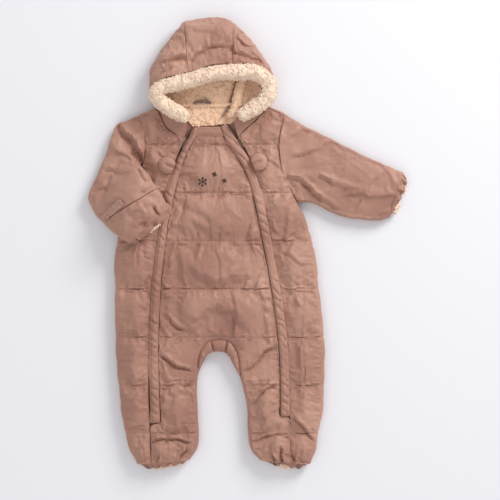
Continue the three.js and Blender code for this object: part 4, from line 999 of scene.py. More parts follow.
@dataclass
class Sleeve:
    """A flattened sleeve, cuff or foot end: two layers with a thin slit between them."""

    table: Table
    thick: tuple[float, float]
    lift: Callable[[Array, Array], Array]
    mirrored: bool
    folds: Table
    profile: Profile = Profile.STRAIGHT
    swell: Puff = field(default_factory=lambda: Puff(pressure=3.0, growth=0.06, rise=5.0, slide=3.0))
    sides: int = 108
    step: float = 2.4
    seed: int = 5
    gathers: float = 0.0  # depth of the gathers at an elasticated end
    draw_in: tuple[float, float] = (0.0, 0.0)  # how far both sides are drawn in, at its first and last row
    tucked: float = 0.0  # how far its first row is tucked under the piece before it
    middle_share: float = 0.42  # height of the slit in the thickness
    inner_share: float = 0.84  # width of the slit in the width
    notch_depth: float = 6.5
    crease_share: float = 1.3

    def run(self, rows: Columns) -> float:
        """Returns how far the first row's middle is from the last row's."""
        ends = (rows["out_x"] + rows["in_x"]) / 2, (rows["out_y"] + rows["in_y"]) / 2
        return math.hypot(*(float(part[-1] - part[0]) for part in ends))

    def turns(self) -> Array:
        """Returns the angle of each point of a ring: the upper layer's are less than half a turn."""
        return 2 * math.pi * np.arange(self.sides) / self.sides

    def drawn(self, rows: Columns, f: Array) -> Columns:
        """Tucks the first row in and draws both edges in.

        Args:
            rows: the rows.
            f: the share of the way along, one for each row.

        Returns:
            The edges, one column each.
        """
        column = {name: value[:, None] for name, value in rows.items()}
        length = np.hypot(column["in_x"] - column["out_x"], column["in_y"] - column["out_y"])
        column["draw"] = mix(*self.draw_in, f**3) / length
        for axis in ("x", "y"):
            one, two = f"out_{axis}", f"in_{axis}"
            middle = (column[one] + column[two]) / 2
            back = self.tucked * (1 - f) * (middle[-1] - middle[0]) / self.run(rows)
            first, last = column[one] - back, column[two] - back
            column[one], column[two] = mix(first, last, column["draw"]), mix(last, first, column["draw"])
        return {**column, "length": length}

    def rings(self) -> tuple[Array, Array]:
        """Works out the outer and the inner ring of every section.

        Returns:
            The outer and the inner grid.
        """
        rows = self.table.even(self.step)
        f = np.linspace(0, 1, len(rows["out_x"]))[:, None]
        thick = mix(*self.thick, self.profile.share(f))
        turn = self.turns()[None, :]
        s = -np.cos(turn)
        upper = turn <= math.pi
        column = self.drawn(rows, f)
        middle = thick * self.middle_share
        swell = np.sqrt(np.maximum(0, 1 - s * s))
        grids = []
        for shrink in (1.0, self.inner_share):
            g = 0.5 + 0.5 * s * shrink
            bulge = 4 * g * (1 - g) * column["hollow"]
            x = mix(column["out_x"], column["in_x"], g) + bulge
            slant = bulge * (column["out_x"] - column["in_x"]) / column["length"]
            y = mix(column["out_y"], column["in_y"], g) + slant
            under = middle * np.abs(s) ** 7
            skin = np.where(upper, middle + (thick - middle) * swell, under)
            slot = middle + np.where(upper, 0.5, -0.5) * SLOT * swell
            place = np.stack([x, y], 2)
            grids.append(at_height(place, self.lift(place, f) + (skin if shrink == 1.0 else slot)))
        return grids[0], grids[1]

    def gather(self, settled: Array, outer: Array, inner: Array, gather_at: Array, gather: Array, along: Array) -> None:
        """Gathers the open end: notches its upper layer and draws the inner one back.

        Args:
            settled: the outer points, changed.
            outer: the outer grid before the cloth settled.
            inner: the inner grid, changed.
            gather_at: where each point lies in the gathers' pattern.
            gather: the pattern's height there.
            along: the share of the way to the open end.
        """
        count = outer.shape[0]
        s = -np.cos(np.tile(self.turns(), count))
        swell = np.sin(np.clip(np.tile(self.turns(), count), 0, math.pi)) ** 0.5
        wave = noise(np.stack([gather_at, gather_at * 0], 1), 7.0, self.seed + 9)
        notch = np.clip(1 - 3.0 * np.abs(wave), 0, 1)
        settled[:, 2] -= swell * notch**1.5 * self.notch_depth * ease(along * 1.6)
        ahead = outer[-1].mean(0) - outer[0].mean(0)
        ahead = ahead / np.linalg.norm(ahead)
        back = 1.6 * gather - 2.4 * notch - 5.0 * np.abs(s) ** 7
        settled[:, :2] += ahead[:2] * (back * ease(along * 1.3))[:, None]
        inward = np.repeat(np.linspace(0, 1, count), self.sides)
        inside = (4.0 + 5.0 * np.abs(s) ** 7) * ease(inward * 1.3)
        inner[:, :, :2] -= ahead[:2] * inside.reshape(count, self.sides)[:, :, None]

    def build(self, name: str) -> bpy.types.Object:
        """Makes the tube, swollen and creased.

        Args:
            name: the piece's name.

        Returns:
            The finished piece.
        """
        outer, inner = self.rings()
        count = outer.shape[0]
        tall = count > 6
        way = -1 if self.mirrored else 1
        tube = Skin()
        tube.add_grid(outer[::way], wrapped=True)
        points = np.concatenate(tube.points)
        turn = self.turns()
        upper = np.tile((turn > 0.12 * math.pi) & (turn < 0.88 * math.pi), count)
        row = np.repeat(np.arange(count), self.sides)
        sewn = np.where(upper, 0.0, 1.0)
        sewn[(row < 1) | (row > count - 2)] = 1
        settled = self.swell.relax(points, tube.faces, sewn) if tall else points
        xy = points[:, :2]
        along = row / (count - 1)
        if self.mirrored:
            along = 1 - along
        to_end = np.minimum(along, 1 - along) * count * self.step
        swell = np.sin(np.clip(np.tile(turn, count), 0, math.pi)) ** 0.5
        ends = ease(to_end / 7) if tall else np.ones(len(points))
        gather_at = np.tile(np.arange(self.sides) * 72 / self.sides, count) * 2.1
        gather = noise(np.stack([gather_at, along * 3], 1), 4.4, self.seed + 3)
        fine = 0.6 * noise(xy, 17, self.seed) + 0.2 * noise(xy, 8, self.seed + 1)
        fine += wrinkles(xy, self.seed + 60, 1.2)
        settled[:, 2] += swell * ends * (fine - self.crease_share * creases(xy, self.folds))
        chord = np.repeat((outer[:, self.sides // 2] - outer[:, 0])[::way, :2], self.sides, 0)
        chord /= np.linalg.norm(chord, axis=1)[:, None]
        s = -np.cos(np.tile(turn, count))
        settled[:, :2] += chord * (s**3 * 1.4 * noise(xy, 15, self.seed + 33) * ends)[:, None]
        if tall:
            settled[:, 2] += swell * np.exp(-to_end / 9) * (1.3 * gather)
        if self.gathers:
            settled[:, 2] += swell * self.gathers * gather
            self.gather(settled, outer, inner, gather_at, gather, along)
        grid = settled.reshape(count, self.sides, 3)[::way]
        if tall and not self.gathers:
            grid[0], grid[-1] = outer[0], outer[-1]
        grid, inner = grid[::way], inner[::way]
        skin = Skin()
        skin.add_grid(grid, wrapped=True)
        skin.add_grid(inner, turned=True, wrapped=True)
        skin.add_grid(np.concatenate([inner[[0]], grid[[0]]]), wrapped=True)
        skin.add_grid(np.concatenate([grid[[-1]], inner[[-1]]]), wrapped=True)
        return make_object(name, *skin.merged())


@dataclass(frozen=True)
class RaisedStrip:
    """A padded placket with slanting folds, over its zip."""

    table: Table
    mirrored: bool  # whether its outer edge is on the viewer's right
    low: float = PLACKET_REST
    high: float = PLACKET_TOP
    columns: int = 9
    step: float = 2.2
    twist_pitch: float = 13.0
    twist_height: float = 3.5
    leg_zip_y: float = -244.0  # middle of the stretch where the zip shows on the leg
    leg_inset: float = 2.6
    end_lower: float = 3.6
    end_longer: float = 2.4

    def pulled(self) -> Columns:
        """Moves the edges over the zip where the zip doesn't show.

        Returns:
            The moved edges.
        """
        rows = self.table.even(self.step)
        wide = np.hypot(rows["in_x"] - rows["out_x"], rows["in_y"] - rows["out_y"])
        on_leg = ease(1.6 - np.abs(rows["out_y"] - self.leg_zip_y) / 30)
        bare = np.maximum(ease((rows["out_y"] - 100) / 24), on_leg)
        inset = mix(-1.5, -1.2, bare) + self.leg_inset * (on_leg * (0 if self.mirrored else 1))
        moved = {}
        for axis in ("x", "y"):
            way = (rows[f"in_{axis}"] - rows[f"out_{axis}"]) / wide
            moved[f"out_{axis}"] = rows[f"out_{axis}"] + way * inset
            moved[f"in_{axis}"] = rows[f"in_{axis}"] - way * 0.3
        return moved

    def build(self, name: str) -> bpy.types.Object:
        """Makes the strip.

        Args:
            name: the piece's name.

        Returns:
            The finished piece.
        """
        grid = from_left(self.pulled(), self.columns, self.mirrored)
        f = np.linspace(0, 1, self.columns)[None, :]
        if self.mirrored:
            f = 1 - f
        flat = grid.reshape(-1, 2)
        left = (len(grid) - 1 - np.arange(len(grid)))[:, None] * self.step
        swell = np.sqrt(np.maximum(0, 1 - (2 * f - 1) ** 2))
        swell = swell * (0.1 + 0.9 * rounded((left + 0.5) / 10))
        middle = grid.mean(1, keepdims=True)
        grid = middle + (grid - middle) * (0.86 + 0.14 * rounded((left + 0.5) / 6))[:, :, None]
        slanted = flat[:, 1] + 0.8 * flat[:, 0] + 4 * noise(flat, 12, 93)
        twist = np.abs(np.sin(slanted * math.pi / self.twist_pitch))
        rope = self.twist_height * (0.6 - (1 - twist) ** 2.2) * ease(0.75 + 1.3 * noise(flat, 34, 94))
        ripple = (0.5 * noise(flat, 7, 91) + 0.35 * noise(flat, 14, 92) + rope).reshape(grid.shape[:2])
        stitched = 1.2 * np.exp(-(((f - 0.2) / 0.09) ** 2))
        z = mix(self.high - 3.4, self.high, swell) + (ripple - stitched) * np.clip(swell * 1.4, 0, 1)
        z = z - self.end_lower * (1 - rounded((left + 0.5) / 8))
        onward = grid[-1].mean(0) - grid[-4].mean(0)
        grid = grid + (onward / np.linalg.norm(onward)) * self.end_longer * (1 - ease(left / 14))[:, :, None]
        return closed_pad(name, at_height(grid, z), self.low)


def flat_pad(
    name: str, table: Table, low: float, top: Callable[[Array, Array, Array], Array], mirrored: bool, step: float = 2.5
) -> bpy.types.Object:
    """Makes a small pad over a level.

    Args:
        name: the piece's name.
        table: its two edges.
        low: the height of its underside.
        top: gives its height from the row share, the column share and the place.
        mirrored: whether its columns run from "in" to "out".
        step: the distance between its points.

    Returns:
        The finished piece.
    """
    rows = table.even(step)
    columns = even_columns(rows, step)
    grid = from_left(rows, columns, mirrored)
    i = np.linspace(0, 1, grid.shape[0])[:, None] * np.ones((1, columns))
    j = np.linspace(0, 1, columns)[None, :] * np.ones((grid.shape[0], 1))
    if mirrored:
        j = 1 - j
    return closed_pad(name, at_height(grid, top(i, j, grid)), low)


@dataclass
class HoodPanel:
    """One of the hood's three panels: over the crown, round the rim and back under to the neck."""

    name: str
    table: Table
    quilt: Table
    seed: int
    swell: Puff = field(default_factory=lambda: Puff(pressure=3.0, growth=0.05, rise=4.5, slide=3.0))
    stitched_half: float = 1.5  # half the width of a stitched row of quilting
    top_steps: int = 46
    under_steps: int = 24

    def shell(self) -> tuple[Array, Array, Array]:
        """Works out the outer and inner shell.

        Returns:
            The outer grid, the inner grid, and the share of the way over the top.
        """
        rows = self.table.smooth(round(len(self.table.rows) * 10))
        count = len(rows["face_x"])
        f = np.linspace(0, 1, count)
        swell = 4 * np.sin(math.pi * f)
        reach = np.hypot(rows["rim_x"] - rows["face_x"], rows["rim_y"] - rows["face_y"])
        crown = mix(HOOD_RIM + 12, HOOD_CROWN, np.clip(reach / 60, 0, 1))
        under = np.hypot(rows["rim_x"] - rows["neck_x"], rows["rim_y"] - rows["neck_y"])
        grids = []
        for wall in (0.0, HOOD_WALL):
            pull = wall / np.maximum(under, 1)
            rim_x, rim_y = mix(rows["rim_x"], rows["neck_x"], pull), mix(rows["rim_y"], rows["neck_y"], pull)
            top = crown - wall + (0 if wall else swell)
            a = np.sin(np.linspace(0, 1, self.top_steps + 1) * math.pi / 2)[None, :]
            z = mix(HOOD_RIM, top[:, None], np.sqrt(1 - a**2.4))
            x = mix(rows["face_x"][:, None], rim_x[:, None], a)
            y = mix(rows["face_y"][:, None], rim_y[:, None], a)
            k = np.linspace(0, 8, self.under_steps + 1)[None, 1:]
            turn = np.minimum(1, k / 4) * math.pi / 2
            curl = (HOOD_RIM - wall) * (1 - np.cos(turn))
            straight = np.maximum(0, (k - 4) / 4) * (under[:, None] - wall - (HOOD_RIM - wall))
            b = np.clip((curl + straight) / (under[:, None] - wall), 0, 1)
            low = wall + (HOOD_RIM - wall) * (1 - np.sin(turn)) + np.zeros_like(b)
            xs = np.concatenate([x, mix(rim_x[:, None], rows["neck_x"][:, None], b)], 1)
            ys = np.concatenate([y, mix(rim_y[:, None], rows["neck_y"][:, None], b)], 1)
            zs = np.concatenate([z, low], 1)
            grids.append(np.stack([xs, ys, zs], 2))
        share = np.concatenate([a[0], np.full(self.under_steps, 2.0)])
        return grids[0], grids[1], share

    def build(self) -> bpy.types.Object:
        """Makes the panel, swollen between its seams and quilting."""
        outer, inner, share = self.shell()
        rows, columns = outer.shape[:2]
        leftwards = self.table.rows[0][0] > self.table.rows[1][0]
        if leftwards:
            outer, inner = outer[::-1], inner[::-1]
        sheet = Skin()
        sheet.add_grid(outer)
        points = np.concatenate(sheet.points)
        xy = points[:, :2].copy()
        edge_share = np.minimum(np.arange(rows), rows - 1 - np.arange(rows))[:, None] * np.ones((1, columns))
        over = (share[None, :] * np.ones((rows, 1))).ravel()
        quilt_away_here = np.full(len(points), 99.0)
        for x_from, y_from, x_to, y_to in self.quilt.rows:
            line = np.array([[x_from, y_from], [x_to, y_to]])
            quilt_away_here = np.minimum(quilt_away_here, to_line(xy, line))
        on_top = over < 1.2
        sewn = np.where(edge_share.ravel() < 1, 1.0, 0.0)
        sewn[over < 0.03] = 1
        sewn[~on_top] = 1
        sewn[on_top & (quilt_away_here < self.stitched_half)] = 1
        settled = self.swell.relax(points, sheet.faces, sewn)
        rim = outer[:, self.top_steps]
        apart = float(np.linalg.norm(np.diff(rim, axis=0), axis=1).mean())
        seam_away = edge_share.ravel() * apart
        loose = rounded(seam_away / 8) * np.where(on_top, 1 - 0.7 * np.clip(over, 0, 1) ** 4, 0)
        loose *= rounded(over / 0.1)
        lift = 0.7 * noise(xy, 19, self.seed) + 0.25 * noise(xy, 8, self.seed + 1)
        lift += wrinkles(xy, self.seed + 9, 1.2)
        for first in (True, False):
            line = outer[0 if first else -1][: self.top_steps + 1, :2]
            lift += puckers(xy, line, self.seed + 2 + first, 13.0, 1.0)
        lift -= 3.6 * np.exp(-((quilt_away_here / 3.4) ** 2)) + creases(xy, FOLDS_HOOD)
        for x_from, y_from, x_to, y_to in self.quilt.rows:
            line = np.stack([np.linspace(x_from, x_to, 20), np.linspace(y_from, y_to, 20)], 1)
            lift += puckers(xy, line, self.seed + 6, 18.0, 1.6)
        settled[:, 2] += lift * loose
        grid = settled.reshape(rows, columns, 3)
        return walled(self.name, grid, inner)


@dataclass
class PileRoll:
    """The rolled pile trim round the face."""

    path: Table
    name: str = "hood_trim_pile"
    sides: int = 44
    step: float = 1.9
    lump: float = 1.2
    fuller: float = 0.8  # how far the pile stands over the path's radius
    end_round: float = 9.0

    def build(self) -> bpy.types.Object:
        """Makes the roll with its soft lumps."""
        rows = self.path.even(self.step)
        middle = np.stack([rows["x"], rows["y"], rows["z"]], 1)
        ahead = np.gradient(middle, axis=0)
        ahead /= np.linalg.norm(ahead, axis=1)[:, None]
        side = np.cross(np.array([0.0, 0.0, 1.0]), ahead)
        side /= np.linalg.norm(side, axis=1)[:, None]
        up = np.cross(ahead, side)
        turn = 2 * math.pi * np.arange(self.sides) / self.sides
        radius = rows["r"].copy()
        count = len(radius)
        end = np.minimum(np.arange(count), count - 1 - np.arange(count)) * self.step
        radius *= rounded((end + 0.6) / self.end_round)
        place = np.stack(np.meshgrid(np.arange(count) * self.step, turn * 10, indexing="ij"), 2).reshape(-1, 2)
        lumps = (noise(place, 6.5, 41) + 0.6 * noise(place, 3.2, 42)).reshape(count, self.sides)
        wrap = np.abs(turn / math.pi - 1)[None, :]
        lumps *= 1 - wrap**8
        r = (radius[:, None] + self.fuller) + self.lump * lumps
        ring = middle[:, None] + side[:, None] * (np.cos(turn)[None, :, None] * r[:, :, None])
        ring = ring + up[:, None] * (np.sin(turn)[None, :, None] * r[:, :, None])
        caps = [np.repeat(middle[[0]], self.sides, 0)[None], np.repeat(middle[[-1]], self.sides, 0)[None]]
        skin = Skin()
        skin.add_grid(np.concatenate([caps[0], ring, caps[1]]), turned=True, wrapped=True)
        return make_object(self.name, *skin.merged())


def gusset_grid(lines: Outlines) -> Array:
    """Returns the points of the gathered strip inside the crotch, row by row along its seam."""
    left = edge(lines.leg_left, "in")
    right = edge(lines.leg_right, "in")
    crotch = np.array([[CENTRE_BODY.rows[-1][2], CENTRE_BODY.rows[-1][1]]])
    seam = np.concatenate([left[left[:, 1] > -197][::-1], crotch, right[right[:, 1] > -211]])
    at, seam = spaced(seam, 1.6)
    lower_columns = GUSSET_EDGE.smooth(len(seam))
    lower = np.stack([lower_columns["x"], lower_columns["y"]], 1)
    way = np.gradient(seam, axis=0)
    way /= np.linalg.norm(way, axis=1)[:, None]
    upper = seam + np.stack([way[:, 1], -way[:, 0]], 1) * 2 * SEAM_GAP
    f = np.linspace(0, 1, 12)[None, :]
    grid = lower[:, None] * (1 - f[:, :, None]) + upper[:, None] * f[:, :, None]
    place = np.stack([at, at * 0], 1)
    gather = 1.7 * noise(place, 6.5, 63) + 1.1 * noise(place, 3.1, 64)
    fold = sum(5.2 * np.exp(-(((seam[:, 0] - x) / 1.8) ** 2)) for x in (-62.0, -35.0))
    z = FRONT_REST + 2.4 + (4.8 + gather[:, None] - fold[:, None]) * np.sin(math.pi * mix(0.12, 0.92, f))
    return at_height(grid, z)


class Surface:
    """Finds the top of finished pieces, so that others can lie on them."""

    def __init__(self, pieces: Sequence[bpy.types.Object]) -> None:
        """Takes the pieces' triangles.

        Args:
            pieces: what may be lain on.
        """
        points: list[Vector] = []
        faces: Faces = []
        for piece in pieces:
            first = len(points)
            points += [vertex.co.copy() for vertex in piece.data.vertices]
            faces += [tuple(first + v for v in face.vertices) for face in piece.data.polygons]
        self.tree = BVHTree.FromPolygons(points, faces)

    def top(self, xy: Array, fallback: float = 20.0) -> Array:
        """Returns the height of the topmost surface at each place, in millimetres."""
        found = np.full(len(xy), fallback)
        down = Vector((0, 0, -1))
        for number, (x, y) in enumerate(xy):
            hit = self.tree.ray_cast(Vector(((x + SHIFT_X) * MM, y * MM, 0.2)), down)[0]
            if hit is not None:
                found[number] = hit.z / MM
        return found


@dataclass(frozen=True)
class EarTab:
    """A small rounded tab beside a placket, with a tuck sewn into it."""

    node: str
    centre: tuple[float, float]
    outward: float  # 1 where it points to the viewer's right, -1 to the left
    size: float = 13.5
    thick: float = 5.4
    lean: tuple[float, float] = (0.91, 0.41)  # the way it points, outward and up
    rows: int = 22
    columns: int = 20
    rim_away: float = 13.9  # how far the dark line of painted shade round it lies from its centre
    rim_turn: float = 2.35  # how far the painted shade line goes round, to each side

    def build(self, surface: Surface) -> bpy.types.Object:
        """Makes the tab, lying on the panel under it.

        Args:
            surface: what it lies on.

        Returns:
            The finished tab.
        """
        out, up = self.lean
        along = np.array([self.outward * out, up])
        cross = np.array([-up, out * self.outward])
        v = np.linspace(-0.8, 0.995, self.rows)[:, None]
        u = np.linspace(-1, 1, self.columns)[None, :]
        wide = self.size * np.sqrt(1 - v * v)
        place = np.array(self.centre) + (v * self.size)[..., None] * along + (u * wide)[..., None] * cross
        base = float(np.percentile(surface.top(place.reshape(-1, 2), 21.3), 96)) + 0.5
        full = np.sqrt(1 - u * u * 0.94) * np.sqrt(1 - v * v * 0.94)
        tuck = 3.6 * np.exp(-((u * wide) ** 2) / 5) * ease((0.5 - v) / 0.5)
        rim = 0.5 * np.exp(-(((np.maximum(np.abs(u), np.abs(v)) - 0.82) / 0.06) ** 2))
        top = base + 1.6 + self.thick * full - tuck - rim
        return closed_pad(f"{self.node}_cloth", at_height(place, top)[::-1], base - 8.0, turned=True)

    def rim(self) -> Array:
        """Returns the line just outside its edge, where dark stitches stand for its shadow: painted shade."""
        turn = np.linspace(-self.rim_turn, self.rim_turn, 60) + math.atan2(self.lean[1], self.outward * self.lean[0])
        return np.array(self.centre) + self.rim_away * np.stack([np.cos(turn), np.sin(turn)], 1)


def stroke(path: Array, wide: float, high: float, surface: Surface) -> tuple[Array, Faces]:
    """Makes one embroidered stroke that lies on the cloth.

    Args:
        path: its middle line, in the plane.
        wide: how wide it is.
        high: how far it stands up.
        surface: the cloth under it.

    Returns:
        Its points and faces.
    """
    at, line = spaced(path, 0.7, 4)
    way = np.gradient(line, axis=0)
    way /= np.maximum(np.linalg.norm(way, axis=1), 1e-6)[:, None]
    normal = np.stack([-way[:, 1], way[:, 0]], 1)
    z = surface.top(line) + 0.15
    end = rounded((np.minimum(at, at[-1] - at) + 0.25) / (wide * 0.5))
    sides = 8
    turn = 2 * math.pi * np.arange(sides) / sides
    grid = np.zeros((len(line), sides, 3))
    grid[:, :, :2] = line[:, None] + normal[:, None] * (np.cos(turn)[None, :, None] * (end * wide / 2)[:, None, None])
    grid[:, :, 2] = z[:, None] + np.sin(turn)[None, :] * (end * high)[:, None]
    skin = Skin()
    caps = [grid[[0]].mean(1, keepdims=True).repeat(sides, 1), grid[[-1]].mean(1, keepdims=True).repeat(sides, 1)]
    skin.add_grid(np.concatenate([caps[0], grid, caps[1]]), turned=True, wrapped=True)
    return skin.merged(0.001)


def joined(name: str, parts: Iterable[tuple[Array, Faces]]) -> bpy.types.Object:
    """Makes one object of several closed bodies."""
    points, faces, first = [], [], 0
    for part_points, part_faces in parts:
        points.append(part_points)
        faces += [tuple(first + v for v in face) for face in part_faces]
        first += len(part_points)
    return make_object(name, np.concatenate(points), faces)


@dataclass(frozen=True)
class SnowMotif:
    """A small embroidered snowflake with two stars rising beside it, in dark thread on the chest."""

    centre: tuple[float, float] = (-74.0, 99.0)
    flake: float = 8.0
    star: float = 4.6
    others: tuple[tuple[float, float], ...] = ((19.0, 12.0), (35.0, 2.0))  # the stars, from the flake
    thread: float = 1.5
    thread_high: float = 0.8

    def build(self, surface: Surface) -> bpy.types.Object:
        """Makes the embroidery on the cloth."""
        strokes: list[Array] = []
        middle = np.array(self.centre)
        for k in range(6):
            angle = math.pi / 2 + k * math.pi / 3
            way = np.array([math.cos(angle), math.sin(angle)])
            strokes.append(np.array([middle + way * 0.6, middle + way * self.flake]))
            joint = middle + way * self.flake * 0.58
            for turn in (-0.9, 0.9):
                side = np.array([math.cos(angle + turn), math.sin(angle + turn)])
                strokes.append(np.array([joint, joint + side * self.flake * 0.3]))
        for away in self.others:
            where = middle + np.array(away)
            for k in range(4):
                angle = math.pi / 8 + k * math.pi / 4
                way = np.array([math.cos(angle), math.sin(angle)]) * (self.star if k % 2 else self.star * 0.7)
                strokes.append(np.array([where - way, where + way]))
        return joined("chest_embroidery", [stroke(path, self.thread, self.thread_high, surface) for path in strokes])


def from_screen(code: str) -> tuple[float, float, float, float]:
    """Turns a screen colour such as "b78f7f" into a linear one."""
    parts = [int(code[k : k + 2], 16) / 255 for k in (0, 2, 4)]
    return (*[p / 12.92 if p <= 0.04045 else ((p + 0.055) / 1.055) ** 2.4 for p in parts], 1.0)


class NodeKit:
    """Short ways to add nodes to one tree."""

    def __init__(self, tree: bpy.types.NodeTree) -> None:
        """Takes the tree."""
        self.tree = tree

    def add(self, kind: str, inputs: dict[str | int, object] | None = None, **settings: object) -> bpy.types.Node:
        """Adds a node, and links or sets its inputs.

        Args:
            kind: the node's type.
            inputs: for each input a socket to link from, or a value.
            settings: the node's own settings.

        Returns:
            The node.
        """
        node = self.tree.nodes.new(kind)
        for name, value in settings.items():
            setattr(node, name, value)
        for name, value in (inputs or {}).items():
            socket = node.inputs[name]
            if isinstance(value, bpy.types.NodeSocket):
                self.tree.links.new(value, socket)
            else:
                socket.default_value = value
        return node

    def maths(self, operation: str, *values: object) -> bpy.types.NodeSocket:
        """Works on one or two sockets or values, and returns the result's socket."""
        return self.add("ShaderNodeMath", dict(enumerate(values)), operation=operation).outputs[0]


class Groups:
    """Node groups that more than one material shares, each built once."""

    def __init__(self) -> None:
        """Builds the groups."""
        self.cloth = self.crinkled_cloth()
        self.pile = self.curly_pile()

    @staticmethod
    def started(
        tree: bpy.types.NodeTree, inputs: dict[str, float]
    ) -> tuple[NodeKit, bpy.types.NodeInputs, bpy.types.NodeSocket]:
        """Gives a new group its inputs and outputs.

        Args:
            tree: the group.
            inputs: its inputs' first values, by name.

        Returns:
            What adds its nodes, its inputs, and the place on the piece.
        """
        for name, start in inputs.items():
            tree.interface.new_socket(name, in_out="INPUT", socket_type="NodeSocketFloat").default_value = start
        for name in ("Height", "Shade"):
            tree.interface.new_socket(name, in_out="OUTPUT", socket_type="NodeSocketFloat")
        kit = NodeKit(tree)
        return kit, kit.add("NodeGroupInput").outputs, kit.add("ShaderNodeTexCoord").outputs["Object"]

    def crinkled_cloth(self) -> bpy.types.NodeTree:
        """Builds the fine weave, the crinkles and the shade of thin padded cloth."""
        tree = bpy.data.node_groups.new("CrinkledCloth", "ShaderNodeTree")
        kit, given, place = self.started(tree, {"Crinkle Size": 70.0, "Weave Size": 1400.0, "Crinkle Share": 0.8})
        wide = kit.add(
            "ShaderNodeTexNoise", {"Vector": place, "Scale": given["Crinkle Size"], "Detail": 3.0, "Distortion": 0.9}
        )
        sharp = kit.maths("ABSOLUTE", kit.maths("SUBTRACT", wide.outputs["Fac"], 0.5))
        fine_scale = kit.maths("MULTIPLY", given["Crinkle Size"], 3.1)
        fine = kit.add("ShaderNodeTexNoise", {"Vector": place, "Scale": fine_scale, "Detail": 2.0, "Distortion": 0.6})
        crinkle = kit.maths("MULTIPLY", sharp, given["Crinkle Share"])
        weave = kit.add("ShaderNodeTexNoise", {"Vector": place, "Scale": given["Weave Size"], "Detail": 1.0})
        small = kit.maths("MULTIPLY", fine.outputs["Fac"], 0.16)
        height = kit.maths("ADD", kit.maths("ADD", crinkle, small), kit.maths("MULTIPLY", weave.outputs["Fac"], 0.035))
        slow = kit.add("ShaderNodeTexNoise", {"Vector": place, "Scale": 9.0, "Detail": 2.0})
        kit.add("NodeGroupOutput", {"Height": height, "Shade": kit.maths("ADD", slow.outputs["Fac"], small)})
        return tree

    def curly_pile(self) -> bpy.types.NodeTree:
        """Builds the soft bumps and shade of curly pile."""
        tree = bpy.data.node_groups.new("CurlyPile", "ShaderNodeTree")
        kit, given, place = self.started(tree, {"Curl Size": 300.0})
        curls = kit.add(
            "ShaderNodeTexNoise", {"Vector": place, "Scale": given["Curl Size"], "Detail": 3.0, "Distortion": 1.6}
        )
        fine = kit.add("ShaderNodeTexNoise", {"Vector": place, "Scale": 1500.0, "Detail": 2.0, "Distortion": 1.0})
        height = kit.maths("ADD", curls.outputs["Fac"], kit.maths("MULTIPLY", fine.outputs["Fac"], 0.3))
        kit.add("NodeGroupOutput", {"Height": height, "Shade": curls.outputs["Fac"]})
        return tree


class Shading:
    """A new material with its shader, its shades and its bumps."""

    def __init__(self, name: str, values: dict[str, float]) -> None:
        """Makes the material.

        Args:
            name: its name.
            values: the shader's plain values, by socket.
        """
        self.made = bpy.data.materials.new(name)
        self.made.use_nodes = True
        self.kit = NodeKit(self.made.node_tree)
        self.shader = self.made.node_tree.nodes["Principled BSDF"]
        for label, value in values.items():
            self.shader.inputs[label].default_value = value

    def drive(self, label: str, source: bpy.types.NodeSocket) -> None:
        """Links a socket of the shader."""
        self.made.node_tree.links.new(source, self.shader.inputs[label])

    def shades(self, source: bpy.types.NodeSocket, first: tuple[float, str], last: tuple[float, str]) -> None:
        """Colours it between two shades.

        Args:
            source: what chooses the shade.
            first: where the first shade ends, and its colour.
            last: where the last shade starts, and its colour.
        """
        ramp = self.kit.add("ShaderNodeValToRGB", {"Fac": source})
        for stop, (position, colour) in zip(ramp.color_ramp.elements, (first, last)):
            stop.position = position
            stop.color = from_screen(colour)
        self.drive("Base Color", ramp.outputs["Color"])

    def bumps(self, height: bpy.types.NodeSocket, strength: float, reach: float) -> None:
        """Gives it bumps of a height, a strength and a reach in metres."""
        bump = self.kit.add("ShaderNodeBump", {"Height": height, "Strength": strength, "Distance": reach})
        self.drive("Normal", bump.outputs["Normal"])


@dataclass(frozen=True)
class ClothFinish:
    """A woven cloth: two near shades, crinkles and a soft sheen."""

    name: str
    dark: str
    light: str
    roughness: float = 0.5
    sheen: float = 0.2
    crinkle_size: float = 62.0
    crinkle_share: float = 0.8
    bump: float = 0.17
    reach: float = 0.005

    def build(self, groups: Groups) -> bpy.types.Material:
        """Makes the material."""
        values = {"Sheen Roughness": 0.45, "Specular IOR Level": 0.32}
        shading = Shading(self.name, {"Roughness": self.roughness, "Sheen Weight": self.sheen, **values})
        cloth = shading.kit.add("ShaderNodeGroup", node_tree=groups.cloth)
        cloth.inputs["Crinkle Size"].default_value = self.crinkle_size
        cloth.inputs["Crinkle Share"].default_value = self.crinkle_share
        shading.shades(cloth.outputs["Shade"], (0.38, self.dark), (0.8, self.light))
        shading.bumps(cloth.outputs["Height"], self.bump, self.reach)
        return shading.made


@dataclass(frozen=True)
class PileFinish:
    """Curly pile: pale tips over a warmer ground."""

    name: str
    ground: str
    tips: str
    curl_size: float = 300.0

    def build(self, groups: Groups) -> bpy.types.Material:
        """Makes the material."""
        shading = Shading(self.name, {"Roughness": 0.95, "Sheen Weight": 0.5, "Specular IOR Level": 0.15})
        pile = shading.kit.add("ShaderNodeGroup", node_tree=groups.pile)
        pile.inputs["Curl Size"].default_value = self.curl_size
        shading.shades(pile.outputs["Shade"], (0.34, self.ground), (0.6, self.tips))
        shading.bumps(pile.outputs["Height"], 0.35, 0.002)
        return shading.made


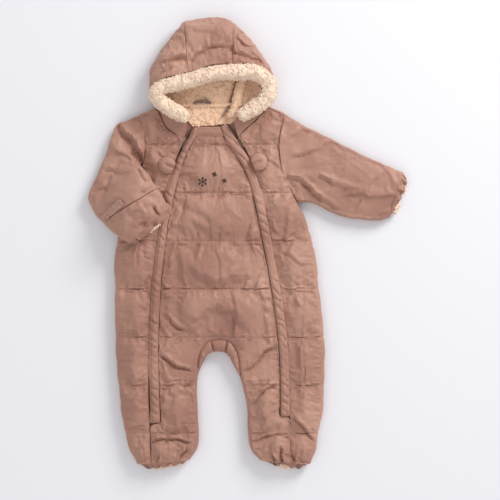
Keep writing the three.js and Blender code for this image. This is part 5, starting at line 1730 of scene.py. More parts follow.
@dataclass(frozen=True)
class MetalFinish:
    """Dark plated metal with fine wear."""

    name: str
    worn: str = "4d382c"
    bright: str = "8a6a55"
    rough: tuple[float, float] = (0.26, 0.5)

    def build(self) -> bpy.types.Material:
        """Makes the material."""
        shading = Shading(self.name, {"Metallic": 0.5})
        kit = shading.kit
        place = kit.add("ShaderNodeTexCoord").outputs["Object"]
        wear = kit.add("ShaderNodeTexNoise", {"Vector": place, "Scale": 900.0, "Detail": 4.0}).outputs["Fac"]
        rough = kit.add("ShaderNodeMapRange", {"Value": wear, "To Min": self.rough[0], "To Max": self.rough[1]})
        shading.shades(wear, (0.0, self.worn), (1.0, self.bright))
        shading.drive("Roughness", rough.outputs["Result"])
        return shading.made


class Finish(Enum):
    """The finishes of the suit, each with a short name."""

    SHELL = "shell_cloth"
    PILE = "pile"
    LINING = "lining"
    TAPE = "zip_tape"
    METAL = "slider_metal"
    RIBBON = "ribbon"
    THREAD = "thread"
    STITCH = "stitch"


class Wardrobe:
    """Makes each finish once and dresses pieces in it."""

    def __init__(self) -> None:
        """Builds the materials."""
        groups = Groups()
        self.made: dict[Finish, bpy.types.Material] = {
            Finish.SHELL: ClothFinish("OuterCloth", "a17363", "c0937f", roughness=0.5).build(groups),
            Finish.PILE: PileFinish("CurlyPile", "f3d5b9", "f8e0c9").build(groups),
            Finish.LINING: PileFinish("LiningPile", "fbcda6", "fcdcbf", 210.0).build(groups),
            Finish.TAPE: ClothFinish("ZipTape", "6b4f45", "8a6b5f", 0.7, 0.1, 260.0, 0.3, 0.3, 0.001).build(groups),
            Finish.METAL: MetalFinish("SliderMetal").build(),
            Finish.RIBBON: ClothFinish("LoopRibbon", "6e574d", "8c7263", 0.45, 0.2, 300, 0.4, 0.3, 1e-3).build(groups),
            Finish.THREAD: ClothFinish("DarkThread", "2c1c18", "4a332b", 0.5, 0.3, 900.0, 0.6, 0.5, 6e-4).build(groups),
            # seam thread, also used for the dark rows of painted shade round the tabs and along the hood lining's fold
            Finish.STITCH: ClothFinish("SeamThreadAndPaintedShade", "7a574a", "926b5d", 0.5, 0.2, 900.0, 0.5, 0.4, 6e-4).build(groups),
        }

    def dress(self, piece: bpy.types.Object, finish: Finish, body: str = SUIT) -> None:
        """Gives a piece its finish and lets it ride on its body."""
        piece.data.materials.clear()
        piece.data.materials.append(self.made[finish])
        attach(piece, body)
        LOG.info("%s: %d faces", piece.name, len(piece.data.polygons))


class GeometryTree:
    """A Geometry Nodes tree with named inputs."""

    def __init__(self, name: str, inputs: Sequence[tuple[str, str, object]]) -> None:
        """Makes the tree with its inputs.

        Args:
            name: the tree's name.
            inputs: for each input its name, socket type and first value.
        """
        self.tree = bpy.data.node_groups.new(name, "GeometryNodeTree")
        face = self.tree.interface
        face.new_socket("Geometry", in_out="INPUT", socket_type="NodeSocketGeometry")
        for label, kind, value in inputs:
            socket = face.new_socket(label, in_out="INPUT", socket_type=kind)
            if value is not None:
                socket.default_value = value
        face.new_socket("Geometry", in_out="OUTPUT", socket_type="NodeSocketGeometry")
        self.kit = NodeKit(self.tree)
        self.given = self.kit.add("NodeGroupInput").outputs

    def close(self, geometry: bpy.types.NodeSocket) -> None:
        """Ends the tree: makes the instances real and gives them their material."""
        real = self.kit.add("GeometryNodeRealizeInstances", {"Geometry": geometry})
        inputs = {"Geometry": real.outputs[0], "Material": self.given["Material"]}
        dressed = self.kit.add("GeometryNodeSetMaterial", inputs)
        self.kit.add("NodeGroupOutput", {"Geometry": dressed.outputs[0]})

    def apply(self, name: str, source: bpy.types.Object, values: dict[str, object]) -> bpy.types.Object:
        """Runs the tree over a source and keeps the result as a plain mesh.

        Args:
            name: the new piece's name.
            source: the object that the tree starts from; it is left as it was.
            values: the inputs' values, by name.

        Returns:
            The new piece.
        """
        holder = bpy.data.objects.new(name + "_holder", source.data)
        bpy.context.scene.collection.objects.link(holder)
        modifier = holder.modifiers.new("nodes", "NODES")
        modifier.node_group = self.tree
        for item in self.tree.interface.items_tree:
            if item.item_type == "SOCKET" and item.in_out == "INPUT" and item.name in values:
                modifier[item.identifier] = values[item.name]
        holder.update_tag()
        evaluated = holder.evaluated_get(bpy.context.evaluated_depsgraph_get())
        mesh = bpy.data.meshes.new_from_object(evaluated)
        holder.modifiers.clear()
        bpy.data.objects.remove(holder)
        mesh.name = name
        made = bpy.data.objects.new(name, mesh)
        bpy.context.scene.collection.objects.link(made)
        return made


@dataclass(frozen=True)
class Stitch:
    """The stitches of a row, in metres."""

    spacing: float
    length: float
    radius: float


def stitch_tree() -> GeometryTree:
    """Builds the tree that sews a row of stitches along a line."""
    tree = GeometryTree("RowOfStitches", [
        ("Spacing", "NodeSocketFloat", 0.0032), ("Length", "NodeSocketFloat", 0.0011),
        ("Radius", "NodeSocketFloat", 0.00035), ("Material", "NodeSocketMaterial", None),
    ])
    kit, given = tree.kit, tree.given
    curve = kit.add("GeometryNodeMeshToCurve", {"Mesh": given["Geometry"]})
    even = kit.add("GeometryNodeResampleCurve", {"Curve": curve.outputs[0], "Length": given["Spacing"]}, mode="LENGTH")
    way = kit.add("GeometryNodeInputTangent")
    turned = kit.add("FunctionNodeAlignRotationToVector", {"Vector": way.outputs[0]}, axis="Z")
    size = kit.add("ShaderNodeCombineXYZ", {"X": given["Radius"], "Y": given["Radius"], "Z": given["Length"]})
    bead = kit.add("GeometryNodeMeshIcoSphere", {"Radius": 1.0, "Subdivisions": 1})
    sewn = kit.add("GeometryNodeInstanceOnPoints", {
        "Points": even.outputs[0], "Instance": bead.outputs[0], "Rotation": turned.outputs[0], "Scale": size.outputs[0],
    })
    tree.close(sewn.outputs[0])
    return tree


def tuft_tree() -> GeometryTree:
    """Builds the tree that covers a pile ground with small curls."""
    tree = GeometryTree("CurlyTufts", [
        ("Density", "NodeSocketFloat", 60000.0), ("Curl", "NodeSocketFloat", 0.0011),
        ("Strand", "NodeSocketFloat", 0.0008), ("Seed", "NodeSocketInt", 3), ("Material", "NodeSocketMaterial", None),
    ])
    kit, given = tree.kit, tree.given
    spots = kit.add("GeometryNodeDistributePointsOnFaces", {
        "Mesh": given["Geometry"], "Density": given["Density"], "Seed": given["Seed"],
    })
    spiral = kit.add("GeometryNodeCurveSpiral", {
        "Resolution": 6, "Rotations": 1.1, "Start Radius": given["Curl"], "End Radius": 0.0004, "Height": 0.0008,
    })
    strand = kit.add("GeometryNodeCurvePrimitiveCircle", {"Resolution": 5, "Radius": given["Strand"]})
    curl = kit.add("GeometryNodeCurveToMesh", {
        "Curve": spiral.outputs[0], "Profile Curve": strand.outputs[0], "Fill Caps": True,
    })
    size = kit.add("FunctionNodeRandomValue", {2: 0.7, 3: 1.35, "Seed": given["Seed"]})
    placed = kit.add("GeometryNodeInstanceOnPoints", {
        "Points": spots.outputs["Points"], "Instance": curl.outputs[0],
        "Rotation": spots.outputs["Rotation"], "Scale": size.outputs[1],
    })
    spin = kit.add("FunctionNodeRandomValue", {0: (-0.4, -0.4, -3.1), 1: (0.4, 0.4, 3.1)}, data_type="FLOAT_VECTOR")
    turned = kit.add("GeometryNodeRotateInstances", {"Instances": placed.outputs[0], "Rotation": spin.outputs[0]})
    tree.close(turned.outputs[0])
    return tree


def line_object(name: str, lines: Sequence[Array]) -> bpy.types.Object:
    """Makes a mesh of bare edges from lines in millimetres."""
    points, edges, first = [], [], 0
    for line in lines:
        points += in_metres(line).tolist()
        edges += [(first + k, first + k + 1) for k in range(len(line) - 1)]
        first += len(line)
    mesh = bpy.data.meshes.new(name)
    mesh.from_pydata(points, edges, [])
    made = bpy.data.objects.new(name, mesh)
    bpy.context.scene.collection.objects.link(made)
    return made


def over(surface: Surface, xy: Array, clear: float = 0.15) -> Array:
    """Lays a line on a surface.

    Args:
        surface: what it lies on.
        xy: the line in the plane.
        clear: how far over the surface it lies.

    Returns:
        The line's points.
    """
    fine = spaced(xy, 1.5)[1]
    return np.column_stack([fine, surface.top(fine) + clear])


@dataclass(frozen=True)
class Studio:
    """The pale floor, the soft light and the camera over the suit."""

    high: float = 3.0
    floor_half: float = 4.0
    across: float = 0.8  # width of the view at the suit, in metres
    level: float = 0.02
    centre: tuple[float, float] = (0.0009, -0.0096)

    def build(self) -> None:
        """Makes floor, lights and camera."""
        scene = bpy.context.scene
        lens = bpy.data.cameras.new("over_view")
        lens.sensor_width = 36
        lens.lens = 36 * (self.high - self.level) / self.across
        camera = bpy.data.objects.new("over_view", lens)
        camera.location = (*self.centre, self.high)
        scene.collection.objects.link(camera)
        scene.camera = camera
        floor_mesh = bpy.data.meshes.new("floor")
        corners = [(x * self.floor_half, y * self.floor_half, 0) for x, y in ((-1, -1), (1, -1), (1, 1), (-1, 1))]
        floor_mesh.from_pydata(corners, [], [(0, 1, 2, 3)])
        floor = bpy.data.objects.new("floor", floor_mesh)
        scene.collection.objects.link(floor)
        paper = bpy.data.materials.new("PaleFloor")
        paper.use_nodes = True
        paper.node_tree.nodes["Principled BSDF"].inputs["Base Color"].default_value = from_screen("f0eff2")
        paper.node_tree.nodes["Principled BSDF"].inputs["Roughness"].default_value = 0.9
        floor_mesh.materials.append(paper)
        self.lamp("key", (1.7, 1.9, 1.45), 1.2, 60.0)
        self.lamp("fill", (-0.8, -1.6, 2.4), 2.4, 15.0)
        world = bpy.data.worlds.new("studio")
        world.use_nodes = True
        world.node_tree.nodes["Background"].inputs["Color"].default_value = (0.96, 0.97, 1.0, 1)
        world.node_tree.nodes["Background"].inputs["Strength"].default_value = 0.6
        scene.world = world
        scene.view_settings.view_transform = "Standard"

    def lamp(self, name: str, place: tuple[float, float, float], size: float, power: float) -> None:
        """Adds a soft square lamp that looks at the suit."""
        light = bpy.data.lights.new(name, "AREA")
        light.size = size
        light.energy = power
        made = bpy.data.objects.new(name, light)
        made.location = place
        made.rotation_euler = Vector((-place[0], -place[1], -place[2])).to_track_quat("-Z", "Y").to_euler()
        bpy.context.scene.collection.objects.link(made)


QUILT_HOOD_LEFT = Table("x_from y_from x_to y_to", ((-150, 297, -96, 293), (-140, 338, -96, 337)))
QUILT_HOOD_CENTRE = Table("x_from y_from x_to y_to", ((-88, 300, -60, 312), (-60, 312, -26, 309)))
QUILT_HOOD_RIGHT = Table("x_from y_from x_to y_to", ((-22, 303, 10, 294), (6, 322, 16, 318)))
TAKE_UP = 1.04  # cloth taken up by quilting and gathering: an allowance, since the photograph can't show it


def strip(rows: Columns, first: str = "out", second: str = "in") -> Array:
    """Returns the two edges of a stretch of cloth, row by row."""
    return np.stack([edge(rows, first), edge(rows, second)], 1)


@dataclass(frozen=True)
class Cut:
    """The flat size to which a piece of cloth is cut, in millimetres, worked out from the piece's own rows."""

    width: float
    length: float
    area: float

    @classmethod
    def of(cls, *grids: Array, layers: int = 1, folded: int = 1) -> "Cut":
        """Works out the cut of one piece from the rows that give its shape.

        Args:
            grids: rows of points across the piece, one grid for each stretch.
            layers: 2 for a tube that lies flat, whose cut goes all round.
            folded: 2 for an edge that is folded double along its length.

        Returns:
            The cut, with the allowance for quilting.
        """
        area = 0.0
        for g in grids:
            g = g if g.shape[2] == 3 else level(g)
            one, two = g[1:, 1:] - g[:-1, :-1], g[1:, :-1] - g[:-1, 1:]
            area += float(np.linalg.norm(np.cross(one, two), axis=2).sum()) / 2
        if len(grids) == 1:
            width = float(np.linalg.norm(np.diff(grids[0], axis=1), axis=2).sum(1).max())
            middle = (grids[0][:, :1] + grids[0][:, -1:]) / 2 if grids[0].shape[1] == 2 else grids[0]
            length = float(np.linalg.norm(np.diff(middle, axis=0), axis=2).sum(0).max())
        else:
            every = np.concatenate([g.reshape(-1, g.shape[2])[:, :2] for g in grids])
            width, length = (float(v) for v in np.ptp(every, axis=0))
        width, length = width * layers * TAKE_UP, length * folded * TAKE_UP
        return cls(width, length, min(area * layers * folded * TAKE_UP**2, width * length))

    def note(self, piece: bpy.types.Object) -> None:
        """Logs the cut of a piece beside the piece's own area."""
        surface = sum(p.area for p in piece.data.polygons) * 1e6 / 2
        LOG.info("cut %s: %.1f x %.1f mm, %.1f cm2, piece has %.2f of it",
                 piece.name, self.width, self.length, self.area / 100, surface / self.area)

    def declare(self, piece: bpy.types.Object, rests_on: Sequence[str] = (), held: str = "laid") -> None:
        """Logs the cut of a finished sheet.

        Args:
            piece: the finished piece.
            rests_on: not used.
            held: not used.
        """
        self.note(piece)


class Workshop:
    """What every part of the suit is made with: sewing lines, finishes, stitches and curls."""

    def __init__(self) -> None:
        """Prepares the lines, the finishes and the two trees."""
        self.lines = Outlines()
        self.wardrobe = Wardrobe()
        self.stitches = stitch_tree()
        self.tufts = tuft_tree()

    def wear(self, piece: bpy.types.Object, finish: Finish, *nodes: str) -> bpy.types.Object:
        """Dresses a piece and lets it stand for its solids."""
        self.wardrobe.dress(piece, finish)
        if nodes:
            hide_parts(*nodes)
        return piece

    def pad(self, piece: bpy.types.Object, finish: Finish, fill: float, *nodes: str) -> bpy.types.Object:
        """Dresses a padded piece."""
        self.wear(piece, finish, *nodes)
        return piece

    def curl(self, ground: bpy.types.Object, name: str, finish: Finish, **values: float) -> None:
        """Covers a pile ground with curls.

        Args:
            ground: the piece that they grow on.
            name: the name of the curls.
            finish: what they are made of.
            values: the tree's inputs, by name.
        """
        given = {"Material": self.wardrobe.made[finish], **values}
        self.wear(self.tufts.apply(name, ground, given), finish)

    def sew(self, name: str, lines: Sequence[Array], finish: Finish, stitch: Stitch) -> None:
        """Sews rows of stitches along lines.

        Args:
            name: the name of the stitches.
            lines: the lines in millimetres.
            finish: the thread.
            stitch: the stitches' size.
        """
        source = line_object(f"{name}_lines", lines)
        made = self.stitches.apply(name, source, {
            "Spacing": stitch.spacing, "Length": stitch.length, "Radius": stitch.radius,
            "Material": self.wardrobe.made[finish],
        })
        bpy.data.objects.remove(source)
        self.wear(made, finish)


@dataclass(frozen=True)
class Body:
    """The back and the three front panels."""

    shop: Workshop
    body_rows: int = 120  # rows on which the cuts are worked out
    leg_rows: int = 60
    side_rows: int = 200

    def with_legs(self, body: Table, *legs: Table) -> Cut:
        """Works out the cut of a panel in one with its two legs."""
        stretches = [strip(leg.smooth(self.leg_rows)) for leg in legs]
        return Cut.of(strip(body.smooth(self.body_rows), "left", "right"), *stretches)

    def build(self) -> list[bpy.types.Object]:
        """Makes the panels.

        Returns:
            The front panels.
        """
        shop, lines = self.shop, self.shop.lines
        back = shop.wear(Back(lines).build(), Finish.SHELL, "back")
        self.with_legs(BACK_BODY, BACK_LEG_LEFT, BACK_LEG_RIGHT).declare(back)
        front = FrontBody(lines)
        centre = shop.wear(front.centre(), Finish.SHELL, "front_centre")
        self.with_legs(CENTRE_BODY, CENTRE_LEG_LEFT, CENTRE_LEG_RIGHT).declare(centre, ["back_cloth"])
        made = [centre]
        for node, table, rows, mirrored, seed in (
            ("front_left", FRONT_LEFT, lines.side_left, False, 210),
            ("front_right", FRONT_RIGHT, lines.side_right, True, 310),
        ):
            side = shop.wear(front.side(f"{node}_cloth", rows, mirrored, seed), Finish.SHELL, node)
            Cut.of(strip(table.smooth(self.side_rows))).declare(side, ["back_cloth"])
            made.append(side)
        return made


@dataclass(frozen=True)
class Tubes:
    """Both sleeves with their cuffs, and the feet's hems."""

    shop: Workshop
    sleeve_mouth: float = 22.0  # thickness of a sleeve at its ends
    cuff_start: float = 20.0
    hem_start: float = 21.0
    cuff_folded_end: float = 14.0
    gathered_end: float = 15.0
    gathered_step: float = 1.4
    over_from: float = 46.0  # how far beside the body the folded sleeve starts to rise
    over_reach: float = 58.0

    def on_surface(self, place: Array, _: Array) -> Array:
        """Returns no lift: the piece lies on the floor."""
        return np.zeros(place.shape[:-1])

    def over_body(self, place: Array, _: Array) -> Array:
        """Returns how high the folded sleeve lies over the front and beside it."""
        rows = self.shop.lines.side_left
        side = np.interp(place[..., 1], rows["out_y"][::-1], rows["out_x"][::-1])
        return SLEEVE_LIFT * ease((place[..., 0] - side + self.over_from) / self.over_reach)

    def folded(self, place: Array, f: Array) -> Array:
        """Returns the sleeve's lift from its armhole, over the fold."""
        return self.over_body(place, f) * ease((f - 0.2) / 0.22)

    def smooth_tubes(self) -> dict[str, Sleeve]:
        """Returns the plans of the sleeves and the hand cover, by node."""
        mouth = self.sleeve_mouth
        return {
            "sleeve_left": Sleeve(
                SLEEVE_LEFT, (mouth, SLEEVE_THICK), self.folded, False, FOLDS_SLEEVE_LEFT, profile=Profile.EARLY),
            "hand_cover_left": Sleeve(
                HAND_COVER_LEFT, (SLEEVE_THICK - 1, mouth), self.over_body, False, FOLDS_COVER, seed=15,
                draw_in=(0.0, 2.2)),
            "sleeve_right": Sleeve(
                SLEEVE_RIGHT, (mouth, SLEEVE_THICK), self.on_surface, True, FOLDS_SLEEVE_RIGHT, seed=35,
                profile=Profile.ROUND),
        }

    def gathered_tubes(self) -> dict[str, Sleeve]:
        """Returns the plans of the elasticated ends, by node."""
        rows = (
            ("cuff_left", CUFF_LEFT, self.cuff_start, self.cuff_folded_end, False, 25, 2.6, (2.4, 7.0), 1.4),
            ("cuff_right", CUFF_RIGHT, self.cuff_start, self.gathered_end, True, 45, 2.6, (0.0, 5.0), 1.2),
            ("foot_hem_left", FOOT_HEM_LEFT, self.hem_start, self.gathered_end, False, 55, 2.8, (0.0, 6.0), 1.2),
            ("foot_hem_right", FOOT_HEM_RIGHT, self.hem_start, self.gathered_end, True, 65, 2.8, (0.0, 6.0), 1.2),
        )
        return {
            node: Sleeve(
                table, (start, end), self.over_body if node == "cuff_left" else self.on_surface, mirrored, NO_FOLDS,
                step=self.gathered_step, seed=seed, gathers=gathers, draw_in=draw_in, tucked=tucked)
            for node, table, start, end, mirrored, seed, gathers, draw_in, tucked in rows
        }

    def build(self) -> list[bpy.types.Object]:
        """Makes the tubes.

        Returns:
            The folded sleeve and its cover, on which the strap lies.
        """
        plans = {**self.smooth_tubes(), **self.gathered_tubes()}
        made = {}
        for node in ("sleeve_left", "hand_cover_left", "cuff_left", "sleeve_right", "cuff_right",
                     "foot_hem_left", "foot_hem_right"):
            made[node] = self.shop.wear(plans[node].build(f"{node}_cloth"), Finish.SHELL, node)
            folded = 2 if plans[node].gathers else 1
            Cut.of(strip(plans[node].table.smooth(80)), layers=2, folded=folded).declare(made[node])
        return [made["sleeve_left"], made["hand_cover_left"]]


@dataclass(frozen=True)
class Plackets:
    """The zips and the padded strips that cover them."""

    shop: Workshop
    teeth: Stitch = Stitch(0.0018, 0.0005, 0.0012)
    tape_inside: float = 4.0  # how far the tape's inner edge is moved out
    teeth_top: float = 0.5  # over the tape
    chest_zip: tuple[float, float] = (104.0, 176.0)  # from where to where the teeth show
    leg_zip: tuple[float, float] = (-272.0, -214.0)

    def tape(self, side: str, table: Table, outward: float) -> bpy.types.Object:
        """Makes the tape of one zip.

        Args:
            side: "left" or "right".
            table: the placket over it.
            outward: -1 for the viewer's left, 1 for the right.

        Returns:
            The tape.
        """
        rows = table.smooth(len(table.rows))
        under = Table(table.columns, tuple(
            (ox + outward * float(zip_shows(np.array(oy))), oy, ix + outward * self.tape_inside, iy)
            for ox, oy, ix, iy in zip(rows["out_x"], rows["out_y"], rows["in_x"], rows["in_y"])
        ))
        made = flat_pad(f"zip_{side}_tape", under, FRONT_REST, lambda i, j, g: 0 * i + ZIP_TOP, outward > 0)
        self.shop.wear(made, Finish.TAPE, f"zip_{side}")
        Cut.of(strip(under.smooth(120))).declare(made)
        return made

    def coil(self, side: str, table: Table, outward: float) -> None:
        """Makes the teeth where the zip shows."""
        fine = table.smooth(300)
        y = fine["out_y"]
        x = fine["out_x"] + outward * zip_shows(y) * 0.45
        line = np.column_stack([x, y, np.full(len(x), ZIP_TOP + self.teeth_top)])
        shown = [self.chest_zip] + ([self.leg_zip] if side == "left" else [])
        runs = [line[(y > low) & (y < high)] for low, high in shown]
        self.shop.sew(f"zip_{side}_coil", runs, Finish.THREAD, self.teeth)

    def build(self) -> list[bpy.types.Object]:
        """Makes both sides.

        Returns:
            The padded strips.
        """
        covers = []
        for side, table, outward in (("left", PLACKET_LEFT, -1), ("right", PLACKET_RIGHT, 1)):
            cover = RaisedStrip(table, mirrored=outward > 0).build(f"placket_{side}_cloth")
            covers.append(self.shop.pad(cover, Finish.SHELL, 0.4, f"placket_{side}"))
            Cut.of(strip(table.smooth(200))).note(cover)
            self.tape(side, table, outward)
            self.coil(side, table, outward)
        return covers


@dataclass(frozen=True)
class Neck:
    """The collars, the neck band, the linings and the hanger loop."""

    shop: Workshop
    fill: float = 0.5
    collar_heights: tuple[float, float] = (27.1, 21.4)  # at its outer and its inner edge
    band_height: float = 20.0
    band_swell: float = 4.0
    back_lining_height: float = 15.0
    loop_ends: tuple[float, float] = (-88.0, -61.0)
    loop_y: float = 225.2
    loop_bow: float = 3.4
    loop_half: float = 1.7
    loop_height: float = 21.5
    fold: tuple[tuple[float, float], ...] = ((-17.0, 268.0), (-25.0, 246.0), (-30.0, 224.0), (-42.0, 204.0))
    hollow: tuple[tuple[float, float], ...] = ((-12.0, 268.0), (6.0, 252.0))
    # two rows of dark stitches along the lining's fold: painted shade for the fold's shadow
    fold_shade_stitch: Stitch = Stitch(0.0022, 0.0013, 0.0010)

    def collar_top(self, i: Array, j: Array, grid: Array) -> Array:
        """Returns the height of a collar."""
        return mix(*self.collar_heights, ease(j)) + 0.5 * grid_noise(grid, 7, 8) * np.sin(math.pi * j)

    def band_top(self, i: Array, j: Array, grid: Array) -> Array:
        """Returns the height of the neck band."""
        swell = self.band_swell * np.sin(math.pi * mix(0.15, 0.85, i))
        return self.band_height + swell + 0.5 * grid_noise(grid, 6, 9)

    def back_top(self, i: Array, j: Array, grid: Array) -> Array:
        """Returns the height of the back's lining."""
        return self.back_lining_height + 0.9 * grid_noise(grid, 6, 10)

    def hood_top(self, i: Array, j: Array, grid: Array) -> Array:
        """Returns the height of the hood's lining: a swell at its side, the dark fold and the hollow beside it."""
        swell = 5 * np.exp(-(((j - 0.86) * 9) ** 2)) * ease((0.6 - i) / 0.3)
        height = LINING_TOP + swell
        for line, deep, wide in ((self.fold, 8.0, 3.2), (self.hollow, 5.0, 13.0)):
            away = to_line(grid.reshape(-1, 2), np.array(line)).reshape(i.shape)
            height = height - deep * np.exp(-((away / wide) ** 2))
        return height + 1.2 * grid_noise(grid, 8, 11)

    def loop(self) -> bpy.types.Object:
        """Makes the hanger loop, bowed along the neck's seam."""
        bow = np.linspace(0, 1, 25)
        arc = np.stack([mix(*self.loop_ends, bow), self.loop_y + self.loop_bow * np.sin(math.pi * bow) ** 0.6], 1)
        bent = Table(EDGES, tuple((x, y + self.loop_half, x, y - self.loop_half) for x, y in arc))
        return flat_pad("hanger_loop_ribbon", bent, LINING_TOP + 0.5,
                        lambda i, j, g: self.loop_height + 2.5 * np.sin(math.pi * i), True, 1.0)

    def build(self) -> bpy.types.Object:
        """Makes the neck.

        Returns:
            The neck band.
        """
        shop = self.shop
        made = {}
        for node, table, top, mirrored, step in (
            ("collar_left", COLLAR_LEFT, self.collar_top, True, 2.5),
            ("collar_right", COLLAR_RIGHT, self.collar_top, False, 2.5),
            ("neck_band", NECK_BAND, self.band_top, False, 1.6),
        ):
            piece = flat_pad(f"{node}_cloth", table, FRONT_REST, top, mirrored, step)
            made[node] = shop.pad(piece, Finish.SHELL, self.fill, node)
            Cut.of(strip(table.smooth(40))).note(piece)
        back = flat_pad("back_lining_pile", BACK_LINING, FRONT_REST, self.back_top, False)
        shop.wear(back, Finish.LINING, "back_lining")
        hood = flat_pad("hood_lining_pile", HOOD_LINING, HOOD_WALL + SEAM_GAP, self.hood_top, True)
        shop.wear(hood, Finish.LINING, "hood_lining")
        loop = shop.wear(self.loop(), Finish.RIBBON, "hanger_loop")
        Cut.of(strip(BACK_LINING.smooth(40))).declare(back)
        Cut.of(strip(HOOD_LINING.smooth(40))).declare(hood)
        Cut.of(strip(HANGER_LOOP.smooth(40))).note(loop)  # too narrow to be stated as a sheet
        shop.curl(back, "back_lining_curls", Finish.LINING, Density=42000.0, Seed=7, Curl=0.0013)
        shop.curl(hood, "hood_lining_curls", Finish.LINING, Density=30000.0, Seed=7, Curl=0.0013)
        return made["neck_band"]

    def sew_fold_shade(self) -> None:
        """Sews two rows of dark stitches along the lining's fold: painted shade for the fold's shadow."""
        lining = Surface([bpy.data.objects["hood_lining_pile"]])
        rows = [over(lining, np.array(self.fold) + np.array([x, 0.0]), 0.6) for x in (-1.3, 1.3)]
        self.shop.sew("hood_lining_painted_shade", rows, Finish.STITCH, self.fold_shade_stitch)


@dataclass(frozen=True)
class Hood:
    """The hood's panels and its rolled pile trim."""

    shop: Workshop

    def build(self) -> None:
        """Makes panels, trim and curls."""
        for node, table, quilt, seed in (
            ("hood_left", HOOD_LEFT, QUILT_HOOD_LEFT, 120),
            ("hood_centre", HOOD_CENTRE, QUILT_HOOD_CENTRE, 130),
            ("hood_right", HOOD_RIGHT, QUILT_HOOD_RIGHT, 140),
        ):
            panel = HoodPanel(f"{node}_cloth", table, quilt, seed)
            Cut.of(panel.shell()[0]).declare(self.shop.wear(panel.build(), Finish.SHELL, node))
        roll = self.shop.pad(PileRoll(TRIM_PATH).build(), Finish.PILE, 0.6, "hood_trim")
        self.shop.curl(roll, "hood_trim_curls", Finish.PILE, Density=62000.0, Seed=3, Curl=0.0012, Strand=0.00085)


@dataclass(frozen=True)
class Glimpses:
    """The pile lining that shows at the cuffs, the feet, the neck seam and in the hood."""

    shop: Workshop
    ends: tuple[tuple[str, tuple[tuple[float, ...], ...]], ...] = (
        ("foot_lining_left", ((-151, -359.5, 8, 2.6), (-145, -359.5, 8, 3.4), (-138, -358.5, 8, 2.6))),
        ("foot_lining_left_inner", ((-131, -356.5, 8, 2.4), (-123, -355, 8, 3.2), (-114, -353.5, 8, 2.4))),
        ("foot_lining_right", ((44, -354, 9, 3.0), (56, -356, 9, 4.2), (68, -357.5, 9, 3.2))),
        ("cuff_lining_right", ((233, 48, 9, 3.0), (236.5, 58, 9, 4.2), (240, 67, 9, 3.0))),
        ("cuff_lining_tip", ((246, 80, 9, 2.6), (249, 87, 9, 3.4), (252, 94, 9, 2.4))),
        ("cuff_lining_left", ((-158, 19, 36, 1.8), (-150, 25.5, 36, 2.3), (-142, 32.5, 36, 1.8))),
    )
    linings: tuple[tuple[str, tuple[tuple[float, ...], ...]], ...] = (
        ("neck_seam_pile", (
            (-108, 222.5, 15, 3.0), (-84, 222.5, 15, 3.4), (-50, 222.5, 15, 3.4), (-12, 222.5, 15, 3.0))),
        ("hood_lining_fold", ((-7, 270, 19, 6), (-15, 247, 20, 7.5), (-20, 224, 20, 7.5), (-31, 203, 18, 5))),
    )

    def build(self) -> None:
        """Makes each roll with its curls."""
        for places, pile in ((self.ends, Finish.PILE), (self.linings, Finish.LINING)):
            for name, path in places:
                roll = PileRoll(Table("x y z r", path), name, 20, 1.4, 0.7, 0.0, 4.0).build()
                self.shop.pad(roll, pile, 0.6)
                self.shop.curl(roll, f"{name}_curls", pile, Density=60000.0, Seed=5, Curl=0.0011)


@dataclass(frozen=True)
class Strap:
    """The elastic tab across the folded cuff."""

    start: tuple[float, float] = (-233.0, 40.6)  # its sewn end
    end: tuple[float, float] = (-200.0, 68.1)  # its round end
    half: float = 6.7
    steps: int = 40
    columns: int = 16
    ribs: int = 7
    thick: float = 2.0
    rib: float = 0.7

    def place(self, side: Array, way: Array) -> Array:
        """Finds places on the strap.

        Args:
            side: from edge to edge, -1 to 1.
            way: from its sewn end to its round one, 0 to 1.

        Returns:
            The places, in the plane.
        """
        start, end = np.array(self.start), np.array(self.end)
        ahead = (end - start) / np.linalg.norm(end - start)
        normal = np.array([-ahead[1], ahead[0]])
        wide = self.half * rounded((1 - way) * np.linalg.norm(end - start) / self.half)
        return start + way[..., None] * (end - start) + (side * wide)[..., None] * normal

    def build(self, under: Surface) -> bpy.types.Object:
        """Makes the tab on what lies under it."""
        side = 2 * np.linspace(0, 1, self.columns)[:, None] - 1
        way = np.linspace(0, 1, self.steps)[None, :]
        place = self.place(side, way)
        base = under.top(place.reshape(-1, 2), 30.0).reshape(place.shape[:2]) + 0.2
        crown = np.sqrt(np.maximum(0, 1 - side**4))
        ripple = self.rib * np.sin(way * 2 * math.pi * self.ribs)
        top = base + 2.2 + (self.thick + ripple) * crown
        return walled("cuff_strap_cloth", at_height(place, top), at_height(place, base))

    def outline(self, under: Surface) -> Array:
        """Returns the line just outside its edge, where dark stitches stand for its shadow: painted shade."""
        way = np.linspace(0, 1, self.steps)
        beside = np.full(self.steps, 1.04)
        return over(under, np.concatenate([self.place(-beside, way), self.place(beside, way[::-1])]), 0.3)


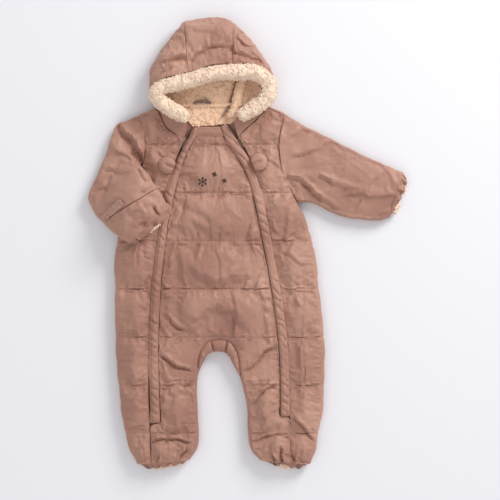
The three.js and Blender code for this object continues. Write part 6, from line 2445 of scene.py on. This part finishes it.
@dataclass(frozen=True)
class Trims:
    """The ears, the embroidery, the gusset, the strap, and the painted shade round the ears' and the strap's edges."""

    shop: Workshop
    fronts: Sequence[bpy.types.Object]
    folded_sleeve: Sequence[bpy.types.Object]
    ears: tuple[EarTab, ...] = (EarTab("ear_left", (-130.5, 125.5), -1), EarTab("ear_right", (15.8, 131.0), 1))
    strap: Strap = Strap()
    # dark stitches just outside the tabs, standing for their shadow: painted shade
    edge_shade_stitch: Stitch = Stitch(0.0012, 0.0011, 0.0007)

    def build(self) -> None:
        """Makes the pieces that lie on the others."""
        shop, surface = self.shop, Surface(self.fronts)
        for ear in self.ears:
            shop.pad(ear.build(surface), Finish.SHELL, 0.5, ear.node)
        shop.wear(SnowMotif().build(surface), Finish.THREAD)
        grid = gusset_grid(shop.lines)
        gusset = shop.pad(closed_pad("crotch_gusset_cloth", grid, FRONT_REST), Finish.SHELL, 0.4, "crotch_gusset")
        Cut.of(grid).note(gusset)
        shop.pad(self.strap.build(Surface(self.folded_sleeve)), Finish.SHELL, 0.3, "cuff_strap")

    def sew_edge_shade(self, surface: Surface) -> None:
        """Sews dark rows round the ears and the strap: painted shade where their edges cast shadows."""
        edges = [over(surface, ear.rim(), 0.1) for ear in self.ears]
        edges.append(self.strap.outline(Surface(self.folded_sleeve)))
        self.shop.sew("tab_edge_painted_shade", edges, Finish.STITCH, self.edge_shade_stitch)


@dataclass(frozen=True)
class Stitching:
    """The rows of stitches that show on the plackets, the neck and the quilting."""

    shop: Workshop
    stitch: Stitch = Stitch(0.0031, 0.0011, 0.00032)
    placket_share: float = 0.26  # where the row lies across the placket
    neck_rows: tuple[float, float] = (184.0, 176.0)
    neck_ends: tuple[float, float] = (-80.0, -46.0)
    quilt_rows: range = range(-1, 4)
    quilt_clear: float = 3.0  # from the plackets

    def build(self, surface: Surface) -> None:
        """Sews the rows on the finished front."""
        lines = []
        for table in (PLACKET_LEFT, PLACKET_RIGHT):
            fine = table.smooth(240)
            row = [mix(fine[f"out_{axis}"], fine[f"in_{axis}"], self.placket_share) for axis in ("x", "y")]
            lines.append(over(surface, np.stack(row, 1)))
        for y in self.neck_rows:
            lines.append(over(surface, np.array([[self.neck_ends[0], y], [self.neck_ends[1], y]])))
        fine = CENTRE_BODY.smooth(300)
        for number in self.quilt_rows:
            y = QUILT_TOP - QUILT_PITCH * number
            inside = np.abs(fine["left_y"] - y) < self.quilt_clear
            if inside.any():
                first = float(fine["left_x"][inside].mean()) + self.quilt_clear
                last = float(fine["right_x"][inside].mean()) - self.quilt_clear
                lines.append(over(surface, np.array([[first, y], [last, y]]), 0.05))
        self.shop.sew("seam_stitches", lines, Finish.STITCH, self.stitch)


@dataclass(frozen=True)
class Metal:
    """The sliders and the pull tabs, which are the solids themselves."""

    shop: Workshop

    def build(self) -> None:
        """Gives them their finish."""
        for side in ("left", "right"):
            for part in ("slider", "pull"):
                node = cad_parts[f"zip_{part}_{side}"]
                node.data.materials.clear()
                node.data.materials.append(self.shop.wardrobe.made[Finish.METAL])


def main() -> None:
    """Builds the studio and the suit, from the back upwards."""
    logging.basicConfig(level=logging.INFO, format="%(message)s")
    Studio().build()
    shop = Workshop()
    fronts = Body(shop).build()
    folded_sleeve = Tubes(shop).build()
    plackets = Plackets(shop).build()
    neck = Neck(shop)
    band = neck.build()
    Hood(shop).build()
    Glimpses(shop).build()
    trims = Trims(shop, fronts, folded_sleeve)
    trims.build()
    surface = Surface([*fronts, *plackets, band])
    # painted shade: dark stitch rows round the ears and the strap
    trims.sew_edge_shade(surface)
    # painted shade: dark stitch rows along the hood lining's fold
    neck.sew_fold_shade()
    Stitching(shop).build(surface)
    Metal(shop).build()


if __name__ == "__main__":
    main()
